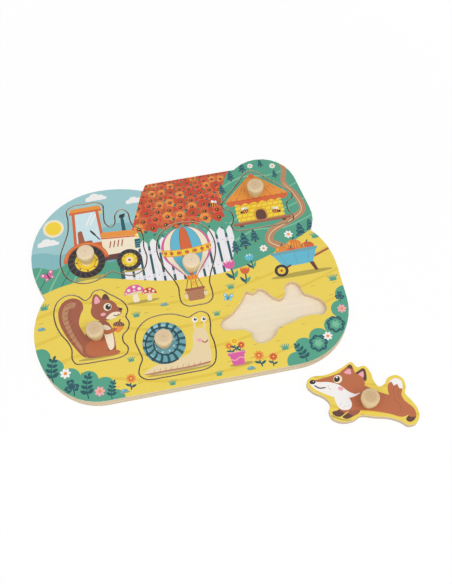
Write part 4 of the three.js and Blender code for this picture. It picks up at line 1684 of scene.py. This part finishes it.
@dataclass(frozen=True)
class TurnedBeech(Finish):
    """Turned beech: growth rings, fibres and flecks, with a lighter rim and a centre mark on top."""

    name: str = "turned_beech"
    log_place: str = "log_place"
    from_axis: str = "from_axis"
    tone: str = "tone"
    pale_side: str = "F3E1BA"
    dark_side: str = "E6CB9C"
    pale_end: str = "F0DEC0"
    dark_end: str = "CFB087"
    pale_rim: str = "F1E1C2"
    dark_rim: str = "E0C69C"
    ring: str = "C6A674"
    fleck: str = "AB8754"
    rings: float = 760.0
    ring_waver: float = 5.0
    top: float = 0.0064
    blend: float = 0.0014
    rim_start: float = 0.0046
    rim_width: float = 0.0024
    centre_mark: float = 0.0011
    waver: Triple = (140, 140, 40)
    fibre: Triple = (1500, 1500, 110)
    pores: Triple = (3000, 3000, 380)

    def inputs(self, graph: ShaderGraph) -> dict:
        """Colours the knob by its place in its log, the distance to its axis and its own tone.

        Args:
            graph: The material's nodes.

        Returns:
            The inputs by their names.
        """
        place = graph.attribute(self.log_place, "Vector")
        reach = graph.attribute(self.from_axis)
        tone = graph.attribute(self.tone)
        sideways = graph.node("ShaderNodeVectorMath", {"operation": "MULTIPLY"}, {0: place, 1: (1, 1, 0)})
        on_top = ((graph.height(place) - self.top) / self.blend).clamped()
        waver = graph.noise(place, self.waver, 2)
        phase = graph.length(sideways) * self.rings * math.pi + self.ring_waver * waver
        growth = 0.5 + 0.5 * graph.maths("SINE", phase)
        fibre = graph.noise(place, self.fibre, 3)
        pores = graph.noise(place, self.pores, 2)
        marks = graph.ramp(pores, (0.56, BLACK), (0.7, WHITE))
        side = graph.mix(tone, linear(self.pale_side), linear(self.dark_side))
        end = graph.mix(tone, linear(self.pale_end), linear(self.dark_end))
        rim = graph.mix(tone, linear(self.pale_rim), linear(self.dark_rim))
        face = graph.mix(((reach - self.rim_start) / self.rim_width).clamped(), end, rim)
        base = graph.mix(on_top, side, face)
        ringed = graph.mix((0.05 + 0.1 * on_top) * growth + 0.2 * fibre, base, linear(self.ring))
        flecked = graph.mix((0.14 + 0.14 * on_top) * marks, ringed, linear(self.fleck))
        middle = (1.0 - reach / self.centre_mark).clamped() * on_top
        return {
            "Base Color": graph.mix(0.6 * middle, flecked, linear(self.fleck)),
            "Roughness": 0.46 + 0.16 * fibre,
            "Specular IOR Level": 0.4,
            "Normal": graph.relief(0.6 * fibre + 0.4 * pores, depth=0.05, strength=0.3),
        }


@dataclass(frozen=True)
class ZincSteel(Finish):
    """Zinc-plated steel with a slightly clouded shine."""

    name: str = "zinc_steel"
    dull: Colour = (0.5, 0.51, 0.53, 1)
    bright: Colour = (0.68, 0.69, 0.7, 1)
    cloud: Triple = (420, 420, 420)
    scratch: Triple = (300, 5200, 5200)
    scratch_turn: float = 35

    def inputs(self, graph: ShaderGraph) -> dict:
        """Gives the metal its fine scratches and dull patches.

        Args:
            graph: The material's nodes.

        Returns:
            The inputs by their names.
        """
        place = graph.own_place()
        cloudy = graph.noise(place, self.cloud, 3)
        scratch = graph.noise(place, self.scratch, 2, self.scratch_turn)
        return {
            "Base Color": graph.mix(cloudy, self.dull, self.bright),
            "Metallic": 1.0,
            "Roughness": 0.24 + 0.2 * cloudy + 0.12 * scratch,
            "Normal": graph.relief(scratch, depth=0.02, strength=0.3),
        }


# Meshes


def new_piece(name: str, mesh: BMesh, finishes: Sequence[Material]) -> Object:
    """Makes an object at the origin from a mesh in metres.

    Args:
        name: The piece's name.
        mesh: Its mesh, which is freed.
        finishes: Materials by the faces' material numbers.

    Returns:
        The new object.
    """
    data = bpy.data.meshes.new(name)
    mesh.to_mesh(data)
    mesh.free()
    for finish in finishes:
        data.materials.append(finish)
    data.shade_smooth()
    data.set_sharp_from_angle(angle=SHARP_ANGLE)
    made = bpy.data.objects.new(name, data)
    bpy.context.scene.collection.objects.link(made)
    return made


class Face(Enum):
    """Which face of a board this is, as its material number."""

    PLAIN = 0
    EDGE = 1
    WELL = 2
    OPEN_WELL = 3


@dataclass
class CutBoard:
    """A sawn board: a welded copy of its solid, with its rims rubbed round."""

    node: str
    open_well: Point | None = None
    rim: float = 0.15
    rim_steps: int = 2
    flat_normal: float = 0.99
    wall_normal: float = 0.5

    def __post_init__(self) -> None:
        """Copies and welds the solid, and joins its flat triangles."""
        self.mesh = bmesh.new()
        self.mesh.from_mesh(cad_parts[self.node].data)
        bmesh.ops.remove_doubles(self.mesh, verts=self.mesh.verts[:], dist=WELD)
        bmesh.ops.dissolve_limit(self.mesh, angle_limit=FLAT_ANGLE, verts=self.mesh.verts[:],
                                 edges=self.mesh.edges[:])
        self.mesh.normal_update()
        self.top = max(vert.co.z for vert in self.mesh.verts)

    def rims(self) -> list[BMEdge]:
        """Returns the edges between a flat face and a wall, above and below."""
        flats = {face for face in self.mesh.faces if abs(face.normal.z) > self.flat_normal}
        return [edge for edge in self.mesh.edges if len(flats.intersection(edge.link_faces)) == 1]

    def borders(self) -> list[Loop]:
        """Follows the rims of the upper face.

        Returns:
            Closed loops in millimetres, the largest first.
        """
        steps: dict[BMVert, list[BMVert]] = {}
        for edge in self.rims():
            for vert in edge.verts:
                if vert.co.z > self.top - LEVEL:
                    steps.setdefault(vert, []).append(edge.other_vert(vert))
        loops = []
        while steps:
            here = next(iter(steps))
            loop = []
            while here in steps:
                loop.append(here.co.to_2d() / MM)
                onward = [vert for vert in steps.pop(here) if vert in steps]
                here = onward[0] if onward else None
            loops.append(loop if area(loop) > 0 else loop[::-1])
        return sorted(loops, key=area, reverse=True)

    def joined_walls(self, corner: BMVert, walls: set[BMFace]) -> set[BMFace]:
        """Follows a wall round from one of its corners.

        Args:
            corner: Where to start.
            walls: All upright faces of the board.

        Returns:
            The walls that hang together with that corner.
        """
        ahead = [face for face in corner.link_faces if face in walls]
        found = set()
        while ahead:
            wall = ahead.pop()
            found.add(wall)
            for edge in wall.edges:
                ahead += [face for face in edge.link_faces if face in walls and face not in found]
        return found

    def mark_walls(self) -> None:
        """Gives the walls their material numbers: wells, the outer edge and the open well."""
        walls = {face for face in self.mesh.faces if abs(face.normal.z) < self.wall_normal}
        leftmost = min(self.mesh.verts, key=lambda vert: vert.co.x)
        marks = [(walls, Face.WELL), (self.joined_walls(leftmost, walls), Face.EDGE)]
        if self.open_well:
            middle = Vector(self.open_well) * MM
            nearest = min(self.mesh.verts, key=lambda vert: (vert.co.to_2d() - middle).length)
            marks.append((self.joined_walls(nearest, walls), Face.OPEN_WELL))
        for faces, mark in marks:
            for wall in faces:
                wall.material_index = mark.value

    def finish(self, name: str, materials: Sequence[Material]) -> Object:
        """Rounds the rims, but not those of a screw's sloping hole, and makes the board's object.

        Args:
            name: The piece's name.
            materials: Materials in the order of Face.

        Returns:
            The board.
        """
        self.mark_walls()
        corners = [edge for edge in self.rims() if edge.calc_face_angle(0.0) > CORNER_ANGLE]
        bmesh.ops.bevel(self.mesh, geom=corners, offset=self.rim * MM, offset_type="OFFSET", affect="EDGES",
                        segments=self.rim_steps, profile=0.5, material=-1, clamp_overlap=True)
        return new_piece(name, self.mesh, materials)


@dataclass(frozen=True)
class PrintedSkin:
    """The printed and lacquered face of a board, cut from the picture along the board's rims."""

    name: str
    borders: list[Loop]
    patches: list[Patch]
    top: float
    margin: float = 0.06
    thickness: float = 0.04
    close: float = 1e-4
    least_spread: float = 0.5
    bare: Ink = Ink.CREAM

    def inset(self, loop: Loop, outer: bool) -> Loop:
        """Draws a rim back from its edge by the margin.

        Args:
            loop: An anticlockwise rim.
            outer: Whether the board lies inside the rim, and not round it.

        Returns:
            The moved rim.
        """
        side = self.margin if outer else -self.margin
        moved = []
        for place, here in enumerate(loop):
            before = (here - loop[place - 1]).normalized()
            after = (loop[(place + 1) % len(loop)] - here).normalized()
            along = (before + after).normalized()
            spread = max(self.least_spread, along.dot(after))
            moved.append(here + along.orthogonal() * side / spread)
        return moved

    def reaching(self, border: Loop) -> list[int]:
        """Finds the patches whose box meets a rim's box.

        Args:
            border: The rim.

        Returns:
            The patches' numbers.
        """
        (left, foot), (right, head) = limits(border)
        found = []
        for number, patch in enumerate(self.patches):
            low, high = limits(patch.outline)
            if high[0] > left and low[0] < right and high[1] > foot and low[1] < head:
                found.append(number)
        return found

    def cut(self) -> tuple[list[Vector], list[tuple[list[int], Ink]]]:
        """Cuts the picture into triangles of one ink each.

        Returns:
            Points in millimetres, and triangles with their inks.
        """
        borders = [self.inset(loop, place == 0) for place, loop in enumerate(self.borders)]
        numbers = self.reaching(borders[0])
        points: list[Vector] = []
        loops = []
        for outline in (*borders, *(self.patches[number].outline for number in numbers)):
            loops.append(list(range(len(points), len(points) + len(outline))))
            points += outline
        found = delaunay_2d_cdt(points, [], loops, INSIDE_LOOPS, self.close, True)
        places, _, triangles, _, _, origins = found
        first = len(borders)
        holes = set(range(1, first))
        kept = []
        for triangle, origin in zip(triangles, origins):
            if 0 in origin and holes.isdisjoint(origin):
                cover = {numbers[mark - first] for mark in origin if mark >= first}
                kept.append((triangle, self.uppermost(cover)))
        return places, kept

    def uppermost(self, cover: set[int]) -> Ink:
        """Returns the ink of a cover's last patch that has all its holders in the cover."""
        shown = [number for number in cover if cover.issuperset(self.patches[number].inside)]
        return self.patches[max(shown)].ink if shown else self.bare

    def build(self, place: Matrix, ink: Material) -> Object:
        """Makes the skin as a thin closed sheet with its inks as an attribute.

        Args:
            place: Where the picture's plane lies, in metres.
            ink: The printed ink's material.

        Returns:
            The skin.
        """
        places, triangles = self.cut()
        mesh = bmesh.new()
        layer = mesh.loops.layers.float_color.new(PrintedInk.attribute)
        verts = [mesh.verts.new(place @ Vector((spot.x * MM, spot.y * MM, self.top))) for spot in places]
        for corners, colour in triangles:
            face = mesh.faces.new([verts[corner] for corner in corners])
            tone = linear(colour.value)
            for corner in face.loops:
                corner[layer] = tone
        bmesh.ops.delete(mesh, geom=[vert for vert in verts if not vert.link_faces], context="VERTS")
        raised = bmesh.ops.extrude_face_region(mesh, geom=mesh.faces[:], use_keep_orig=True)
        lifted = [item for item in raised["geom"] if isinstance(item, BMVert)]
        bmesh.ops.translate(mesh, verts=lifted, vec=(0, 0, self.thickness * MM))
        bmesh.ops.recalc_face_normals(mesh, faces=mesh.faces[:])
        return new_piece(self.name, mesh, [ink])


@dataclass
class Tray:
    """The tray: a plain backing board, and a frame of printed board glued to it."""

    body: str = "tray"
    backing: str = "backing_board"
    front: str = "frame_board"

    def build(self, picture: list[Patch], ink: Material) -> list[Object]:
        """Builds both boards and the frame's printed skin.

        Args:
            picture: Patches of the background.
            ink: The printed ink's material.

        Returns:
            The tray's pieces.
        """
        plain = PaleWood().material()
        edge = PlyEdge(f"{self.backing}_edge", self.backing).material()
        backing = CutBoard(self.backing).finish(f"{self.backing}_wood", (plain, edge))
        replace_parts(backing, self.backing)
        materials = [plain]
        for kind, part in ((PlyEdge, "edge"), (WellEdge, "well"), (OpenWellEdge, "open_well")):
            materials.append(kind(f"{self.front}_{part}", self.front).material())
        board = CutBoard(self.front, OPEN_WELL)
        skin = PrintedSkin("frame_print", board.borders(), picture, board.top).build(Matrix.Identity(4), ink)
        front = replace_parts(board.finish(f"{self.front}_wood", materials), self.front)
        made = [backing, skin, front]
        for piece in made:
            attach(piece, self.body)
        return made


@dataclass
class Knob:
    """A turned knob: a chamfered foot, sides that flare upwards, a round shoulder and a low crown."""

    log_turn: float
    pith: Point
    tone: float
    base: float = 11.6
    top: float = 12.4
    widest: float = 14.0
    flare: float = 1.2
    crown: float = 0.4
    crown_steps: tuple[float, ...] = (0.66, 0.33, 0.0)
    chamfer: float = 0.6
    pilot: float = 3.1
    pilot_depth: float = 9.6
    curve_steps: int = 14
    turning_steps: int = 56

    def profile(self, across: float, tall: float) -> list[Point]:
        """Draws half the knob's section, from its pilot hole round to its crown.

        Args:
            across: The knob's diameter.
            tall: Its height.

        Returns:
            Distances from the axis and heights, in millimetres.
        """
        foot, widest, flat = self.base / 2, across / 2, self.top / 2
        shoulder = tall - self.crown
        run = [(0, self.pilot_depth), (self.pilot / 2, self.pilot_depth), (self.pilot / 2, 0),
               (foot - self.chamfer, 0)]
        for step in range(self.curve_steps + 1):
            share = step / self.curve_steps
            swell = math.sin(share * math.pi / 2) ** self.flare
            run.append((foot + (widest - foot) * swell, self.chamfer + (self.widest - self.chamfer) * share))
        for step in range(1, self.curve_steps + 1):
            angle = step / self.curve_steps * math.pi / 2
            run.append((flat + (widest - flat) * math.cos(angle),
                        self.widest + (shoulder - self.widest) * math.sin(angle)))
        for share in self.crown_steps:
            run.append((flat * share, shoulder + self.crown * (1 - share * share)))
        return run

    def build(self, body: str, finish: Material) -> Object:
        """Turns the knob on its node's axis and marks its place in the log.

        Args:
            body: The body that the knob belongs to.
            finish: The beech material.

        Returns:
            The knob.
        """
        low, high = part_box(f"{body}_knob")
        axis = (low + high) / 2
        size = high - low
        mesh = bmesh.new()
        verts = []
        for reach, height in self.profile(size.x / MM, size.z / MM):
            verts.append(mesh.verts.new((axis.x + reach * MM, axis.y, low.z + height * MM)))
        edges = [mesh.edges.new(pair) for pair in zip(verts, verts[1:])]
        bmesh.ops.spin(mesh, geom=verts + edges, cent=(axis.x, axis.y, 0), axis=(0, 0, 1),
                       angle=2 * math.pi, steps=self.turning_steps, use_merge=True)
        bmesh.ops.remove_doubles(mesh, verts=mesh.verts[:], dist=WELD)
        bmesh.ops.recalc_face_normals(mesh, faces=mesh.faces[:])
        piece = new_piece(f"{body}_knob_turned", mesh, [finish])
        self.mark_log(piece, axis)
        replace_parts(piece, f"{body}_knob")
        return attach(piece, body)

    def mark_log(self, piece: Object, axis: Vector) -> None:
        """Writes each vertex's place in the log, its distance to the axis and the knob's tone.

        Args:
            piece: The knob.
            axis: A point on its axis.
        """
        kinds = {TurnedBeech.log_place: "FLOAT_VECTOR", TurnedBeech.from_axis: "FLOAT",
                 TurnedBeech.tone: "FLOAT"}
        for name, kind in kinds.items():
            piece.data.attributes.new(name, kind, "POINT")
        places, reaches, tones = (piece.data.attributes[name].data for name in kinds)
        turn = Matrix.Rotation(math.radians(self.log_turn), 3, "Z")
        pith = Vector((self.pith[0] * MM, self.pith[1] * MM, 0))
        for vert, place, reach, tone in zip(piece.data.vertices, places, reaches, tones):
            offset = vert.co - axis
            place.vector = turn @ offset + pith
            reach.value = offset.to_2d().length
            tone.value = self.tone


@dataclass
class PicturePiece:
    """A lift-out piece: a printed plate with a knob that a screw holds from below."""

    name: str
    motif: type[Motif]
    knob: Knob
    knob_at: Point
    home: Point | None = None
    turn: float = 0.0
    # Painted shade on the plate's edge, for the dark gap round it in its well
    painted_shade: float = PlateEdge.painted_shade

    def middle(self) -> Vector:
        """Works out the middle of the plate's outline from where its knob stands.

        Returns:
            The middle in millimetres.
        """
        low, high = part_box(f"{self.name}_knob")
        offset = Matrix.Rotation(math.radians(self.turn), 2) @ Vector(self.knob_at)
        return ((low + high) / 2).to_2d() / MM - offset

    def lay(self) -> Matrix:
        """Works out the move from the picture to where the piece lies.

        Returns:
            The move in metres, which is none for a piece in its well.
        """
        if self.home is None:
            return Matrix.Identity(4)
        here = Matrix.Translation(self.middle().to_3d() * MM)
        away = Matrix.Translation(-Vector(self.home).to_3d() * MM)
        return here @ Matrix.Rotation(math.radians(self.turn), 4, "Z") @ away

    def build(self, scenery: list[Patch], ink: Material, beech: Material,
              steel: Material) -> list[Object]:
        """Builds the plate, its printed skin and its knob, and dresses its screw.

        Args:
            scenery: Patches of the background.
            ink: The printed ink's material.
            beech: The knob's material.
            steel: The screw's material.

        Returns:
            The piece's new objects.
        """
        node = f"{self.name}_plate"
        pen = Pen(list(scenery))
        self.motif(pen.at(*(self.home or self.middle()))).draw()
        board = CutBoard(node)
        lay = self.lay()
        back = lay.inverted()
        borders = []
        for loop in board.borders():
            borders.append([(back @ (point.to_3d() * MM)).to_2d() / MM for point in loop])
        skin = PrintedSkin(f"{self.name}_print", borders, pen.patches, board.top).build(lay, ink)
        plain = PaleWood(f"{self.name}_veneer", -self.turn).material()
        edge = PlateEdge(f"{node}_edge", node, self.painted_shade).material()
        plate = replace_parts(board.finish(f"{node}_wood", (plain, edge, edge)), node)
        for piece in (skin, plate):
            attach(piece, self.name)
        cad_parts[f"{self.name}_screw"].material_slots[0].material = steel
        return [skin, plate, self.knob.build(self.name, beech)]


# Studio


@dataclass(frozen=True)
class Lamp:
    """A square soft light that faces the tray, with its sizes in metres and its power in watts."""

    name: str
    place: Triple
    power: float
    size: float = 1.5

    def build(self) -> None:
        """Makes the lamp."""
        data = bpy.data.lights.new(self.name, "AREA")
        data.shape = "SQUARE"
        data.size = self.size
        data.energy = self.power
        lamp = bpy.data.objects.new(self.name, data)
        lamp.location = self.place
        lamp.rotation_euler = (-Vector(self.place)).to_track_quat("-Z", "Y").to_euler()
        bpy.context.scene.collection.objects.link(lamp)


@dataclass(frozen=True)
class Studio:
    """A white floor and world under soft lamps, and the camera at the photograph's angle."""

    look_at: Triple = (38.5, -24.2, 0.0)
    distance: float = 888.2
    elevation: float = 62.0
    heading: float = 11.6
    focal_pixels: float = 900.0
    image_width: float = 452.0
    sensor: float = 36.0
    floor_reach: float = 6.0
    floor_drop: float = 0.0002
    paper: Colour = (0.98, 0.98, 0.98, 1)
    white_rays: tuple[str, ...] = ("Is Camera Ray", "Is Glossy Ray", "Is Transmission Ray")
    white_share: float = 0.9
    shadow_reach: float = 0.3
    shadow_fade: float = 0.2
    ambient: float = 0.52
    lamps: tuple[Lamp, ...] = (Lamp("key_light", (0.85, -0.95, 2.05), 18.6),
                               Lamp("fill_light", (-0.95, -0.9, 2.05), 15.3))

    def build(self) -> None:
        """Sets the view, and makes the camera, the floor, the world and the lamps."""
        bpy.context.scene.view_settings.view_transform = "Standard"
        self.build_camera()
        self.build_floor()
        self.build_world()
        for lamp in self.lamps:
            lamp.build()

    def build_camera(self) -> None:
        """Places the camera at its distance from what it looks at."""
        data = bpy.data.cameras.new("camera")
        data.sensor_fit = "HORIZONTAL"
        data.sensor_width = self.sensor
        data.lens = self.focal_pixels * self.sensor / self.image_width
        camera = bpy.data.objects.new("camera", data)
        rise = math.radians(self.elevation)
        turn = math.radians(self.heading)
        ahead = Vector((math.sin(turn) * math.cos(rise), math.cos(turn) * math.cos(rise), -math.sin(rise)))
        camera.location = (Vector(self.look_at) - ahead * self.distance) * MM
        camera.rotation_euler = ahead.to_track_quat("-Z", "Y").to_euler()
        bpy.context.scene.collection.objects.link(camera)
        bpy.context.scene.camera = camera

    def seen_white(self, graph: ShaderGraph) -> Socket:
        """Returns 1 for rays of the camera and of mirrored or clear surfaces, and 0 for the rest."""
        camera, mirrored, clear = (graph.node("ShaderNodeLightPath", output=ray) for ray in self.white_rays)
        return graph.maths("MAXIMUM", graph.maths("MAXIMUM", camera, mirrored), clear)

    def build_floor(self) -> None:
        """Makes the white floor, which keeps a soft part of the shadows near the puzzle."""
        mesh = bmesh.new()
        bmesh.ops.create_grid(mesh, x_segments=2, y_segments=2, size=self.floor_reach)
        bmesh.ops.translate(mesh, verts=mesh.verts[:], vec=(0, 0, -self.floor_drop))
        material = bpy.data.materials.new("studio_floor")
        graph = ShaderGraph.of(material)
        paper = graph.node("ShaderNodeBsdfDiffuse", None, {"Color": self.paper})
        white = graph.node("ShaderNodeEmission", None, {"Color": WHITE, "Strength": 1.0})
        fade = ((graph.length(graph.own_place()) - self.shadow_reach) / self.shadow_fade).clamped()
        share = (self.white_share + (1 - self.white_share) * fade) * self.seen_white(graph)
        mixed = graph.node("ShaderNodeMixShader", None, {0: share, 1: paper, 2: white})
        graph.node("ShaderNodeOutputMaterial", None, {"Surface": mixed})
        new_piece("studio_floor", mesh, [material])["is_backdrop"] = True

    def build_world(self) -> None:
        """Makes even light from all round, white where the camera sees it."""
        world = bpy.data.worlds.new("studio_world")
        bpy.context.scene.world = world
        graph = ShaderGraph.of(world)
        light, white = (graph.node("ShaderNodeBackground", None, {"Color": WHITE, "Strength": strength})
                        for strength in (self.ambient, 1.0))
        mixed = graph.node("ShaderNodeMixShader", None, {0: self.seen_white(graph), 1: light, 2: white})
        graph.node("ShaderNodeOutputWorld", None, {"Surface": mixed})


def puzzle_pieces() -> list[PicturePiece]:
    """Lists the six lift-out pieces.

    Returns:
        Five pieces in their wells, and the one that lies in front of the tray.
    """
    return [
        PicturePiece("tractor", Tractor, Knob(20, (24, 9), 0.1), (-15.96, -20.02)),
        PicturePiece("balloon", Balloon, Knob(95, (-31, 6), 0.0), (1.14, -6.615)),
        PicturePiece("hive", Hive, Knob(160, (19, -14), 0.75), (-0.73, 5.52)),
        PicturePiece("squirrel", Squirrel, Knob(230, (27, 3), 0.8), (2.07, -11.1)),
        PicturePiece("snail", Snail, Knob(285, (-12, -22), 0.55), (-9.62, 1.26)),
        # The loose fox lies in the open, so its edge gets little painted shade
        PicturePiece("fox", Fox, Knob(330, (15, 18), 1.0), (5.885, -4.96), OPEN_WELL, turn=-31.5, painted_shade=0.1),
    ]


def write_sizes() -> None:
    """Goes through the box of the solids and the box of the dressed model, without writing them."""
    for name, box in (("cad", CAD_BOX), ("visual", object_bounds())):
        [list(corner) for corner in box]


def main() -> None:
    """Builds the studio, the tray and the six pieces, and reports each object."""
    logging.basicConfig(level=logging.INFO, format="%(message)s")
    Studio().build()
    pen = Pen()
    Scenery(pen).draw()
    ink = PrintedInk().material()
    beech = TurnedBeech().material()
    steel = ZincSteel().material()
    made = Tray().build(pen.patches, ink)
    for piece in puzzle_pieces():
        made += piece.build(pen.patches, ink, beech, steel)
    for item in made:
        LOG.info("%s: %d faces", item.name, len(item.data.polygons))
    write_sizes()


if __name__ == "__main__":
    main()
